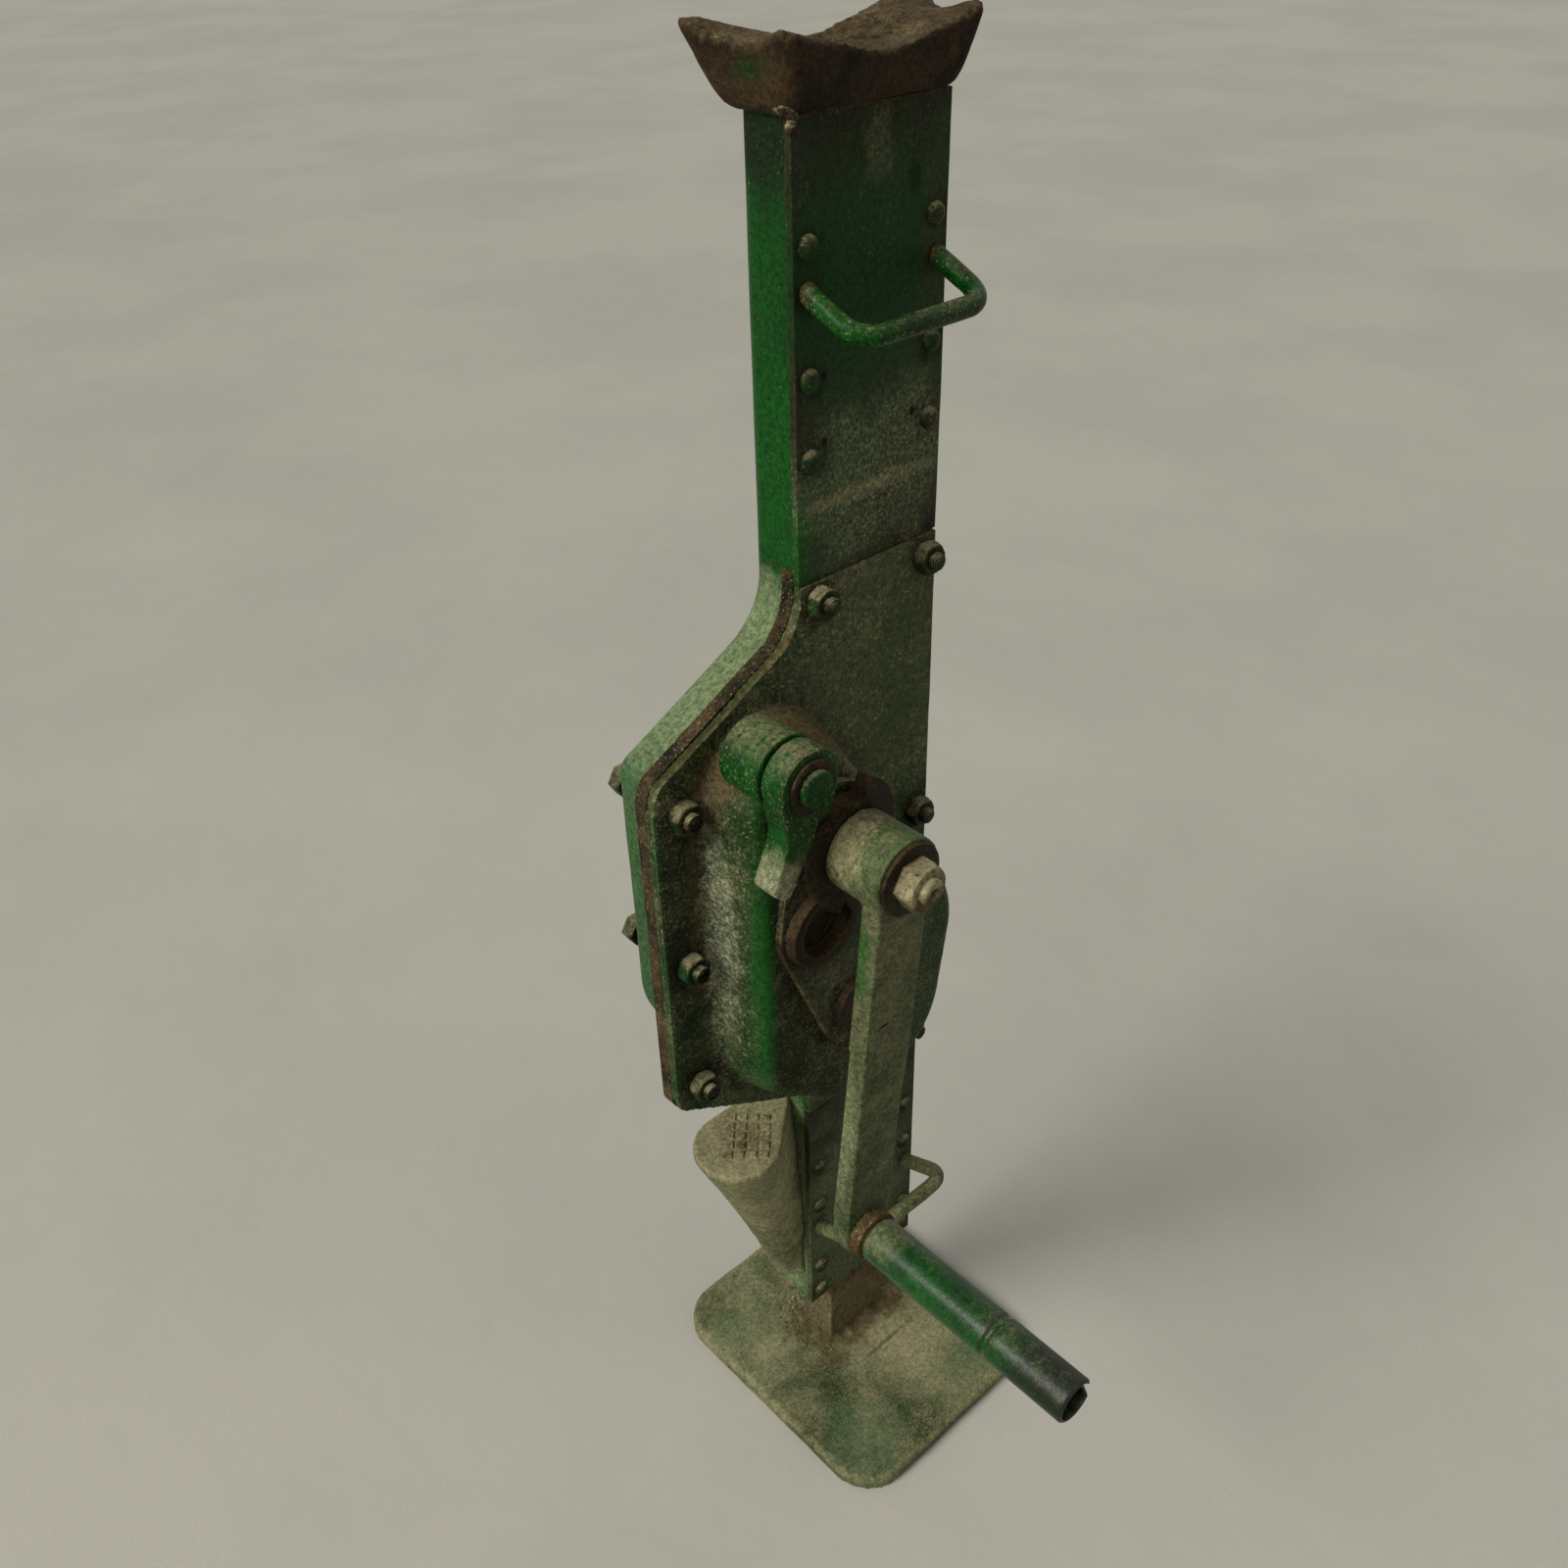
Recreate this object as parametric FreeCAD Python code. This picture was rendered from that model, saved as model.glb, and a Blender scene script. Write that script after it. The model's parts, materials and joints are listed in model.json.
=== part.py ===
import FreeCAD, Part
import math
import os

# Rack jack, millimetres. +Z is up, the foot plate's underside is z = 0, the crank side faces -Y,
# the gear flare and the lifting claw point to -X.
os.makedirs("parts", exist_ok=True)

# Clearances
running_clearance = 0.05
shank_clearance = 0.05
guide_clearance = 0.4
mesh_thinning = 0.45
seam_gap = 0.4

# Foot plate and rack
foot_x = 145.0
foot_y = 166.0
foot_thickness = 9.0
foot_corner = 25.0
foot_edge_chamfer = 1.5
rack_front_y = 1.5
rack_thickness = 20.0
rack_module = 6.0
rack_tip_x = -18.4
rack_back_margin = 14.0
rack_addendum = 3.6
rack_tooth_start_z = 100.0
rack_tenon_margin = 5.0
rack_tenon_depth = 6.0
rack_root_clearance = 1.35

# Housing outline, seen from the crank side
column_half = 39.5
column_bottom = 72.0
column_top = 694.0
seam_z = 524.0
flare_left = -120.0
flare_top_inner = 504.8
flare_top_outer = 463.8
flare_bottom_outer = 289.0
flare_bottom_inner = 241.0
cover_bottom = 228.0
flare_inner_radius = 28.0
flare_top_radius = 14.0
flare_bottom_radius = 9.0
shell_bottom_outer = 335.0
shell_bottom_inner = 262.0
shell_bottom_radius = 42.0
shell_inset = 1.0
shell_left_inset = 4.0
frame_width = 17.0
frame_open_side = 30.0

# Depths along Y
plate_front = -5.0
plate_back = -1.5
cover_proud = 1.0
frame_back = 5.0
shell_back = 25.0
shell_wall = 3.0
shell_back_radius = 9.0
pan_face = -33.0
pan_wall = 3.0
bearing_plate_thickness = 4.0

# Pan of the gear cover: rounds that its outline is drawn taut over, and the inward steps of its rim
pan_left_round = (-60.0, 312.0, 35.0)
pan_top_round = (-64.0, 445.0, 33.0)
pan_low_round_z = 297.0
pan_low_round_radius = 50.0
pan_low_round_margin = 7.5
pan_right_round_z = 334.0
pan_right_round_radius = 52.0
pan_right_round_margin = 1.5
pan_rim_insets = (0.0, 3.0, 5.2, 7.6, 10.5)

# Bearing plate corners and front bushes
bearing_corner = 23.0
bearing_second_corner = 22.0
bearing_right_corner = (-4.0, 380.0, 8.0)
bush_wall = 4.0
bush_inside = 3.0
bush_floor = 2.0
bush_draft = 1.0
bush_mouth_lip = 0.2
crank_bush_flange = 18.0
crank_bush_proud = 3.0
second_bush_flange = 20.0
second_bush_proud = 5.5
main_bush_flange = 17.0
main_bush_proud = 4.0

# Gear train
pressure_angle = math.radians(25.0)
gear_module = 3.0
crank_teeth = 9
second_teeth = 21
third_teeth = 10
main_teeth = 33
rack_pinion_teeth = 7
gear_addendum = 2.4
gear_dedendum = 3.1
rack_pinion_addendum = 5.4
rack_pinion_dedendum = 4.6
crank_axis = (-53.3, 429.4)
second_axis_x = -61.0
main_gear_front = -16.0
main_gear_width = 13.0
second_gear_front = 3.0
second_gear_width = 10.0
rack_pinion_front = 2.0
rack_pinion_width = 14.0
crank_journal = 11.0
second_journal = 10.0
main_journal = 9.0
rear_journal = 8.0
rear_bush_radius = 13.0
rear_bush_front = 16.6
rear_bush_cap = 3.0
rear_bush_lip = 2.0
rear_bush_chamfer = 1.0
rear_shaft_end = 24.5
shaft_end_gap = 0.6
main_shaft_end_gap = 0.4
pinion_overhang = 1.0

# Crank, ratchet and grip
crank_radius = 195.0
crank_tilt = math.radians(6.0)
crank_hub_radius = 17.7
crank_front = -80.0
crank_arm_thickness = 10.0
crank_arm_half_width = 15.0
crank_arm_end = 13.0
crank_seat = 8.5
crank_washer_radius = 16.0
crank_washer_thickness = 2.0
crank_nut_flats = 19.0
crank_nut_height = 9.0
crank_stud_radius = 6.0
crank_stud_length = 3.0
crank_stud_bore = 2.6
crank_stud_bore_depth = 4.0
crank_stud_chamfer = 0.8
ratchet_tip = 31.5
ratchet_root = 20.0
ratchet_teeth = 4
ratchet_front = -51.0
ratchet_back = -43.5
grip_radius = 10.6
grip_wall = 1.8
grip_collar_radius = 12.0
grip_collar = 6.0
grip_length = 113.5
grip_gap = 0.5
grip_groove_from_end = 42.0
grip_groove_depth = 1.1
grip_spindle_length = 90.0
grip_chamfer = 1.0
grip_groove_gap = 0.4
grip_groove_half = 0.8
grip_groove_slope = 1.2
spindle_groove_half = 1.6
spindle_groove_slope = 0.8
sleeve_bead_half = 0.6
sleeve_bead_slope = 1.0
spindle_tang = 7.0
spindle_rivet = 8.5
spindle_rivet_height = 2.0

# Pawl
pawl_axis = (-80.0, 473.5)
pawl_boss_radius = 15.5
pawl_boss_step = 1.5
pawl_boss_foot = 12.0
pawl_collar_height = 2.5
pawl_hub_radius = 15.0
pawl_back = -41.5
pawl_thickness = 12.5
pawl_pin_radius = 6.0
pawl_collar_radius = 11.5
pawl_washer_radius = 11.5
pawl_washer_thickness = 1.5
pawl_head_radius = 8.0
pawl_head_height = 3.0
pawl_head_chamfer = 1.0
pawl_pin_root = 1.0
pawl_tail_outline = ((9.0, -6.0, 0.0), (-2.0, 0.0, 0.0), (-15.5, -2.0, 5.0), (-11.5, -21.0, 16.0),
                     (-21.0, -42.0, 3.0), (-13.0, -49.5, 3.0), (1.0, -25.0, 12.0))
pawl_nose_left = (-4.0, -13.0)
pawl_nose_right = (14.0, -6.0)
pawl_nose_heel = (-5.0, -1.5)
pawl_heel_radius = 1.5
pawl_tip_radius = 1.0
pawl_ratchet_gap = 0.6

# Handles, rivets and bolts
handle_rod = 4.0
handle_margin = 6.0
handle_root = 4.0
upper_handle_reach = 29.0
lower_handle_reach = 33.5
handle_bend = 11.0
handle_below_rivet = 15.0
upper_handle_tilt = math.radians(-24.0)
lower_handle_rise = 63.0
lower_handle_tilt = math.radians(23.0)
rivet_margin = 7.0
upper_rivet_shares = (0.753, 0.476, 0.294)
lower_rivet_rises = (109.0, 79.5, 28.5, 8.0)
rivet_head = 5.0
rivet_head_height = 3.2
rivet_shank = 3.0
rivet_depth = 9.0
bolt_radius = 4.0
bolt_stickout = 3.0
nut_flats = 13.0
nut_height = 6.5
stud_depth = 10.0
left_stud_margin = 9.5
left_stud_z = 515.5
right_stud_margin = 8.0
right_stud_heights = (514.0, 383.0, 243.0)
through_margins = (13.5, 12.0)
through_heights = (449.0, 370.5)
corner_bolt_margin = 13.0
corner_bolt_z = 299.5

# Head and claw
head_foot_overhang = 0.3
head_height = 28.0
head_top_half = 58.0
head_top_front_half = 46.0
head_top_front = -14.0
head_top_back = 32.0
head_valley = 8.0
head_trough = 5.0
head_bowl_radius = 60.0
head_bowl_depth = 15.0
head_plug_depth = 14.0
head_plug_gap = 0.3
head_corner = 6.0
head_rim_x = 9.0
head_rim_y = 4.0
head_valley_rim = 1.5
head_trough_rim = 1.0
claw_top = 228.0
claw_levels = ((0.0, (-79.0, 5.0, 22.0), (-40.0, 19.0, 7.0)),
               (3.0, (-79.0, 5.0, 22.6), (-40.0, 18.5, 8.0)),
               (31.0, (-70.0, 8.5, 18.5), (-40.0, 16.0, 9.5)),
               (65.0, (-59.0, 11.0, 15.5), (-40.0, 14.0, 11.0)),
               (98.0, (-48.0, 12.0, 13.5), (-39.0, 12.5, 12.0)),
               (134.0, (-40.0, 12.5, 10.0), (-37.0, 12.5, 12.0)))
claw_seat_gap = 0.3


def save(shape, name):
    shape.exportStep(os.path.join("parts", name + ".step"))


def point(x, y, z):
    return FreeCAD.Vector(x, y, z)


def offset_corners(corners, distances):
    """Move each edge of a closed outline inward by its own distance; corner radii follow."""
    count = len(corners)
    lines = []
    for i in range(count):
        x0, z0, _ = corners[i]
        x1, z1, _ = corners[(i + 1) % count]
        length = math.hypot(x1 - x0, z1 - z0)
        nx, nz = -(z1 - z0) / length, (x1 - x0) / length
        lines.append((nx, nz, nx * x0 + nz * z0 + distances[i]))
    moved = []
    for i in range(count):
        a, b = lines[i - 1], lines[i]
        det = a[0] * b[1] - a[1] * b[0]
        x = (a[2] * b[1] - a[1] * b[2]) / det
        z = (a[0] * b[2] - a[2] * b[0]) / det
        radius = corners[i][2]
        if radius > 0:
            shift = max(distances[i - 1], distances[i])
            radius = radius - shift if det > 0 else radius + shift
        moved.append((x, z, radius))
    return moved


def rounded_wire(corners, y):
    """Closed outline in the plane at y, given as (x, z, corner radius) counter-clockwise."""
    count = len(corners)
    spans = []
    for i in range(count):
        x, z, radius = corners[i]
        here = point(x, y, z)
        back = point(corners[i - 1][0], y, corners[i - 1][1]) - here
        ahead = point(corners[(i + 1) % count][0], y, corners[(i + 1) % count][1]) - here
        back.normalize()
        ahead.normalize()
        if radius <= 0:
            spans.append((here, None, here))
            continue
        half = back.getAngle(ahead) / 2.0
        reach = radius / math.tan(half)
        middle = back + ahead
        middle.normalize()
        centre = here + middle * (radius / math.sin(half))
        spans.append((here + back * reach, centre - middle * radius, here + ahead * reach))
    edges = []
    for i in range(count):
        start, mid, end = spans[i]
        if mid is not None:
            edges.append(Part.Arc(start, mid, end).toShape())
        following = spans[(i + 1) % count][0]
        if (following - end).Length > 1e-6:
            edges.append(Part.makeLine(end, following))
    return Part.Wire(edges)


def hull_wire(circles, level, upright=True):
    """Taut outline round circles (a, b, radius), counter-clockwise, in the plane y = level or z = level."""
    def place(a, b):
        return point(a, level, b) if upright else point(a, b, level)

    count = len(circles)
    normals = []
    for i in range(count):
        x0, z0, r0 = circles[i]
        x1, z1, r1 = circles[(i + 1) % count]
        along = math.atan2(z1 - z0, x1 - x0)
        normals.append(along - math.pi / 2 + math.asin((r0 - r1) / math.hypot(x1 - x0, z1 - z0)))
    edges = []
    for i in range(count):
        x, z, r = circles[i]
        start, end = normals[i - 1], normals[i]
        turn = (end - start) % (2 * math.pi)
        rim = [place(x + r * math.cos(a), z + r * math.sin(a)) for a in (start, start + turn / 2, end)]
        edges.append(Part.Arc(*rim).toShape())
        x1, z1, r1 = circles[(i + 1) % count]
        edges.append(Part.makeLine(rim[2], place(x1 + r1 * math.cos(end), z1 + r1 * math.sin(end))))
    return Part.Wire(edges)


def plate(wire, depth):
    """Flat piece standing on a wire and running depth along Y."""
    return Part.Face(wire).extrude(point(0, depth, 0))


def rod(centre, radius, y0, y1):
    """Round bar along Y about centre (x, z)."""
    return Part.makeCylinder(radius, y1 - y0, point(centre[0], y0, centre[1]), point(0, 1, 0))


def ring(centre, outer, inner, y0, y1):
    return rod(centre, outer, y0, y1).cut(rod(centre, inner, y0 - 1, y1 + 1))


def turned(centre, profile):
    """Solid of revolution about the Y line through centre; profile is a list of (radius, y)."""
    corners = [point(centre[0] + r, y, centre[1]) for r, y in profile]
    face = Part.Face(Part.makePolygon(corners + corners[:1]))
    return face.revolve(point(centre[0], 0, centre[1]), point(0, 1, 0), 360)


def hexagon(centre, flats, y0, y1):
    """Hexagon bar along Y with a 30 degree chamfer on the end at y0."""
    radius = flats / math.sqrt(3.0)
    corners = []
    for i in range(6):
        angle = math.radians(60.0 * i)
        corners.append(point(centre[0] + radius * math.cos(angle), y0, centre[1] + radius * math.sin(angle)))
    bar = plate(Part.makePolygon(corners + corners[:1]), y1 - y0)
    slope = (radius - flats / 2.0) * 1.2
    reach = 1.01 * radius
    crown = turned(centre, [(0, y0), (flats / 2.0, y0), (reach, y0 + slope), (reach, y1), (0, y1)])
    return bar.common(crown)


def tooth_angle(radius, pitch_radius, thickness):
    """Half angle of an involute tooth at a radius."""
    base = pitch_radius * math.cos(pressure_angle)
    local = math.acos(min(1.0, base / radius))
    flat = math.tan(pressure_angle) - pressure_angle
    return thickness / (2 * pitch_radius) + flat - (math.tan(local) - local)


def gear(centre, module, teeth, addendum, dedendum, phase, y0, width):
    """Spur gear with involute flanks; a tooth points along phase."""
    pitch_radius = module * teeth / 2.0
    base = pitch_radius * math.cos(pressure_angle)
    thickness = math.pi * module / 2.0 - mesh_thinning
    tip = pitch_radius + addendum
    root = pitch_radius - dedendum
    foot = max(base, root)
    steps = 4
    flank = [(root, tooth_angle(foot, pitch_radius, thickness))] if root < base else []
    for i in range(steps + 1):
        radius = foot + (tip - foot) * i / steps
        flank.append((radius, tooth_angle(radius, pitch_radius, thickness)))
    corners = []
    for tooth in range(teeth):
        middle = phase + 2 * math.pi * tooth / teeth
        sides = [(r, middle - a) for r, a in flank] + [(r, middle + a) for r, a in reversed(flank)]
        corners += [point(centre[0] + r * math.cos(a), y0, centre[1] + r * math.sin(a)) for r, a in sides]
    return plate(Part.makePolygon(corners + corners[:1]), width)


# Places that follow from the column's width and height
rack_back_x = column_half - rack_back_margin
rivet_x = column_half - rivet_margin
handle_half_span = column_half - handle_margin
upper_rivet_heights = tuple(seam_z + (column_top - seam_z) * share for share in upper_rivet_shares)
lower_rivet_heights = tuple(column_bottom + rise for rise in lower_rivet_rises)
rivet_heights = upper_rivet_heights + lower_rivet_heights
upper_handle_z = upper_rivet_heights[0] - handle_below_rivet
lower_handle_z = column_bottom + lower_handle_rise
right_stud_sites = tuple((column_half - right_stud_margin, z) for z in right_stud_heights)
stud_sites = ((left_stud_margin - column_half, left_stud_z),) + right_stud_sites
through_sites = tuple((flare_left + margin, z) for margin, z in zip(through_margins, through_heights))
corner_site = (flare_left + corner_bolt_margin, corner_bolt_z)

# Axes that follow from the teeth
crank_to_second = gear_module * (crank_teeth + second_teeth) / 2.0
second_to_main = gear_module * (third_teeth + main_teeth) / 2.0
rack_pitch_x = rack_tip_x + rack_addendum
rack_pinion_radius = rack_module * rack_pinion_teeth / 2.0
main_x = rack_pitch_x - rack_pinion_radius
second_drop = math.sqrt(crank_to_second ** 2 - (second_axis_x - crank_axis[0]) ** 2)
second_axis = (second_axis_x, crank_axis[1] - second_drop)
main_drop = math.sqrt(second_to_main ** 2 - (main_x - second_axis_x) ** 2)
main_axis = (main_x, second_axis[1] - main_drop)
crank_phase = math.atan2(second_axis[1] - crank_axis[1], second_axis[0] - crank_axis[0])
third_phase = math.atan2(main_axis[1] - second_axis[1], main_axis[0] - second_axis[0])
second_phase = crank_phase + math.pi + math.pi / second_teeth
main_phase = third_phase + math.pi + math.pi / main_teeth
cover_front = plate_front - cover_proud
bearing_face = pan_face - bearing_plate_thickness
shell_inner_half = column_half - shell_inset - shell_wall
guide_back = shell_back - shell_back_radius - head_plug_gap
plug_bottom = column_top - head_plug_depth
grip_axis = (crank_axis[0] - crank_radius * math.sin(crank_tilt),
             crank_axis[1] - crank_radius * math.cos(crank_tilt))
cover_stud_end = cover_front - nut_height - bolt_stickout


# Foot plate with a slot that takes the rack's tenon
def foot_plate():
    half_x, half_y = foot_x / 2.0, foot_y / 2.0
    block = Part.makeBox(foot_x, foot_y, foot_thickness, point(-half_x, -half_y, 0))
    uprights = [e for e in block.Edges if abs(e.Vertexes[0].Z - e.Vertexes[1].Z) > 1]
    block = block.makeFillet(foot_corner, uprights)
    rim = [e for e in block.Edges if abs(e.BoundBox.ZMin - foot_thickness) < 1e-6]
    block = block.makeChamfer(foot_edge_chamfer, rim)
    return block.cut(tenon(shank_clearance))


def tenon(extra):
    size_x = rack_back_x - rack_root_x() - 2 * rack_tenon_margin + 2 * extra
    size_y = rack_thickness - 2 * rack_tenon_margin + 2 * extra
    corner = point(rack_root_x() + rack_tenon_margin - extra, rack_front_y + rack_tenon_margin - extra,
                   foot_thickness - rack_tenon_depth)
    return Part.makeBox(size_x, size_y, rack_tenon_depth + 1.0, corner)


def rack_root_x():
    return rack_pitch_x + rack_pinion_addendum + rack_root_clearance


# Rack: straight-sided teeth on the -X edge, a gap facing the rack pinion at rest
def rack():
    pitch = math.pi * rack_module
    half_tooth = pitch / 4.0 - mesh_thinning / 2.0
    slope = math.tan(pressure_angle)
    root_x = rack_root_x()
    top = plug_bottom - guide_clearance
    tip_half = half_tooth - rack_addendum * slope
    root_half = half_tooth + (root_x - rack_pitch_x) * slope
    edge = []
    first = math.ceil((rack_tooth_start_z - main_axis[1]) / pitch)
    last = math.floor((top - main_axis[1] - pitch) / pitch)
    for k in range(first, last + 1):
        middle = main_axis[1] + (k + 0.5) * pitch
        edge += [(root_x, middle - root_half), (rack_tip_x, middle - tip_half)]
        edge += [(rack_tip_x, middle + tip_half), (root_x, middle + root_half)]
    lead = edge[0][1] - 0.5 * pitch
    outline = [(rack_back_x, foot_thickness), (rack_back_x, top), (root_x, top)]
    outline += list(reversed(edge))
    outline += [(root_x, lead), (rack_tip_x, lead - (root_x - rack_tip_x)), (rack_tip_x, foot_thickness)]
    corners = [point(x, rack_front_y, z) for x, z in outline]
    bar = plate(Part.makePolygon(corners + corners[:1]), rack_thickness)
    return bar.fuse(tenon(0.0)).removeSplitter()


# Housing outlines, counter-clockwise from the lower right corner
def plate_corners():
    return [(column_half, column_bottom, 0), (column_half, column_top, 0), (-column_half, column_top, 0),
            (-column_half, flare_top_inner, flare_inner_radius),
            (flare_left, flare_top_outer, flare_top_radius),
            (flare_left, flare_bottom_outer, flare_bottom_radius),
            (-column_half, flare_bottom_inner, flare_inner_radius), (-column_half, column_bottom, 0)]


def shell_corners(inset, ends):
    corners = plate_corners()
    corners[5] = (flare_left, shell_bottom_outer, shell_bottom_radius)
    corners[6] = (-column_half, shell_bottom_inner, flare_inner_radius)
    left = inset + shell_left_inset - shell_inset
    distances = [inset, -ends, inset, inset, left, inset, inset, -ends]
    return offset_corners(corners, distances)


def dished(inset, ends, y0, y1, back_radius):
    """Channel-shaped solid with its long back edges rounded."""
    body = plate(rounded_wire(shell_corners(inset, ends), y0), y1 - y0)
    low, high = column_bottom - ends, column_top + ends
    back_edges = []
    for edge in body.Edges:
        box = edge.BoundBox
        flat = box.ZMax - box.ZMin < 1e-6 and min(abs(box.ZMin - low), abs(box.ZMin - high)) < 1e-6
        if abs(box.YMin - y1) < 1e-6 and abs(box.YMax - y1) < 1e-6 and not flat:
            back_edges.append(edge)
    return body.makeFillet(back_radius, back_edges)


def housing_shell():
    outer = dished(shell_inset, 0.0, plate_back, shell_back, shell_back_radius)
    inner = dished(shell_inset + shell_wall, 20.0, plate_back - 20.0, shell_back - shell_wall,
                   shell_back_radius - shell_wall)
    shell = outer.cut(inner)
    shell = shell.cut(frame_blank(0.0))
    for axis in (crank_axis, second_axis, main_axis):
        shell = shell.cut(rod(axis, rear_bush_radius + shank_clearance, shell_back - shell_wall - 1,
                              shell_back + 1))
    for site in through_sites:
        shell = shell.cut(rod(site, bolt_radius + shank_clearance, shell_back - shell_back_radius - 2,
                              shell_back + 1))
    return shell


# Frame behind the cover: follows the flare, open towards the column
def frame_blank(inset):
    return plate(rounded_wire(flare_corners(inset), plate_back), frame_back - plate_back)


def flare_corners(inset):
    corners = [(-column_half, flare_bottom_inner, 0), (-column_half, flare_top_inner, 0),
               (flare_left, flare_top_outer, flare_top_radius),
               (flare_left, flare_bottom_outer, flare_bottom_radius)]
    return offset_corners(corners, [-inset, inset, inset, inset])


def flare_frame():
    inner = offset_corners(flare_corners(0.0), [-frame_open_side, frame_width, frame_width, frame_width])
    rounded = [(x, z, max(radius, 0.0)) for x, z, radius in inner]
    frame = frame_blank(0.0).cut(plate(rounded_wire(rounded, plate_back - 1), frame_back - plate_back + 2))
    for site in through_sites + (corner_site,):
        frame = frame.cut(rod(site, bolt_radius + shank_clearance, plate_back - 1, frame_back + 1))
    return frame


# Front plates above and below the gear cover
def front_plate(low, high):
    body = Part.makeBox(2 * column_half, plate_back - plate_front, high - low,
                        point(-column_half, plate_front, low))
    for side in (-1, 1):
        for z in rivet_heights:
            body = body.cut(rod((side * rivet_x, z), rivet_shank + shank_clearance, plate_front - 1,
                                plate_back + 1))
    return body


# Pressed pan of the gear cover
def pan_circles(shrink):
    low_round_x = column_half - pan_low_round_margin - pan_low_round_radius
    right_round_x = column_half - pan_right_round_margin - pan_right_round_radius
    rounds = (pan_left_round, (low_round_x, pan_low_round_z, pan_low_round_radius),
              (right_round_x, pan_right_round_z, pan_right_round_radius), pan_top_round)
    return [(x, z, radius - shrink) for x, z, radius in rounds]


def pan_body(wall, base_y):
    """Pan with sloping sides and a rounded rim; wall is taken off all round."""
    depth_shares = (0.0, 0.62, 0.84, 0.95, 1.0)
    face_y = pan_face + wall
    sections = []
    for share, inset in zip(depth_shares, pan_rim_insets):
        sections.append(hull_wire(pan_circles(wall + inset), base_y + (face_y - base_y) * share))
    return Part.makeLoft(sections, True, True)


def gear_cover():
    corners = plate_corners()[1:7]
    corners[0] = (column_half, seam_z - seam_gap, 0)
    corners[1] = (-column_half, seam_z - seam_gap, 0)
    corners[5] = (-column_half, flare_bottom_inner, 0)
    corners.append((-column_half, cover_bottom, 0))
    corners.append((column_half, cover_bottom, 0))
    sheet = plate(rounded_wire(corners, cover_front), plate_back - cover_front)
    cover = sheet.fuse(pan_body(0.0, cover_front))
    cover = cover.cut(pan_body(pan_wall, plate_back))
    for axis in (crank_axis, second_axis, main_axis):
        cover = cover.cut(rod(axis, front_bush_radius(axis) + shank_clearance, pan_face - 1,
                              pan_face + 2 * pan_wall))
    for site in stud_sites + through_sites + (corner_site,):
        cover = cover.cut(rod(site, bolt_radius + shank_clearance, cover_front - 1, plate_back + 1))
    return cover


def front_bush_radius(axis):
    return {crank_axis: crank_journal, second_axis: second_journal, main_axis: main_journal}[axis] + bush_wall


# Bearing plate on the pan, its corners rounded about the three shafts
def bearing_plate():
    circles = [(main_axis[0], main_axis[1], bearing_corner), bearing_right_corner,
               (crank_axis[0], crank_axis[1], bearing_corner),
               (second_axis[0], second_axis[1], bearing_second_corner)]
    body = plate(hull_wire(circles, bearing_face), bearing_plate_thickness)
    for axis in (crank_axis, second_axis, main_axis):
        body = body.cut(rod(axis, front_bush_radius(axis) + shank_clearance, bearing_face - 1, pan_face + 1))
    return body.cut(pawl_boss_blank())


# Bushes: each has a spigot through the pan; the second shaft's bush is left open at the front
def front_bushes():
    inside = pan_face + pan_wall + bush_inside
    floor = bearing_face + bush_floor
    bushes = []
    flange = bearing_face - crank_bush_proud
    spigot = front_bush_radius(crank_axis)
    bore = crank_journal + running_clearance
    bushes.append(turned(crank_axis, [(bore, flange), (crank_bush_flange, flange),
                                      (crank_bush_flange, bearing_face), (spigot, bearing_face),
                                      (spigot, inside), (bore, inside)]))
    flange = bearing_face - second_bush_proud
    spigot = front_bush_radius(second_axis)
    bore = second_journal + running_clearance
    mouth = spigot - bush_mouth_lip
    bushes.append(turned(second_axis, [(mouth, flange), (second_bush_flange - bush_draft, flange),
                                       (second_bush_flange, bearing_face), (spigot, bearing_face),
                                       (spigot, inside), (bore, inside), (bore, floor), (mouth, floor)]))
    flange = bearing_face - main_bush_proud
    spigot = front_bush_radius(main_axis)
    bore = main_journal + running_clearance
    blind = flange + bush_floor
    bushes.append(turned(main_axis, [(0, flange), (main_bush_flange - bush_draft, flange),
                                     (main_bush_flange, bearing_face), (spigot, bearing_face),
                                     (spigot, inside), (bore, inside), (bore, blind), (0, blind)]))
    return Part.makeCompound(bushes)


def rear_bushes():
    bushes = []
    for axis in (crank_axis, second_axis, main_axis):
        bore = rear_journal + running_clearance
        lip = rear_bush_radius + rear_bush_lip
        end = shell_back + rear_bush_cap
        floor = end - bush_floor
        bushes.append(turned(axis, [(bore, rear_bush_front), (rear_bush_radius, rear_bush_front),
                                    (rear_bush_radius, shell_back), (lip, shell_back),
                                    (lip, end - rear_bush_chamfer), (lip - rear_bush_chamfer, end),
                                    (0, end), (0, floor), (bore, floor)]))
    return Part.makeCompound(bushes)


# Guide bars inside the column, drilled for rivets and studs
def guide_bar(x0, x1, z0, z1):
    bar = Part.makeBox(x1 - x0, guide_back - plate_back, z1 - z0, point(x0, plate_back, z0))
    for side in (-1, 1):
        for z in rivet_heights:
            bar = bar.cut(rod((side * rivet_x, z), rivet_shank + shank_clearance, plate_back - 1,
                              plate_front + rivet_depth + shank_clearance))
    for site in stud_sites:
        bar = bar.cut(rod(site, bolt_radius + shank_clearance, plate_back - 1,
                          plate_back + stud_depth + shank_clearance))
    return bar


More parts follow.
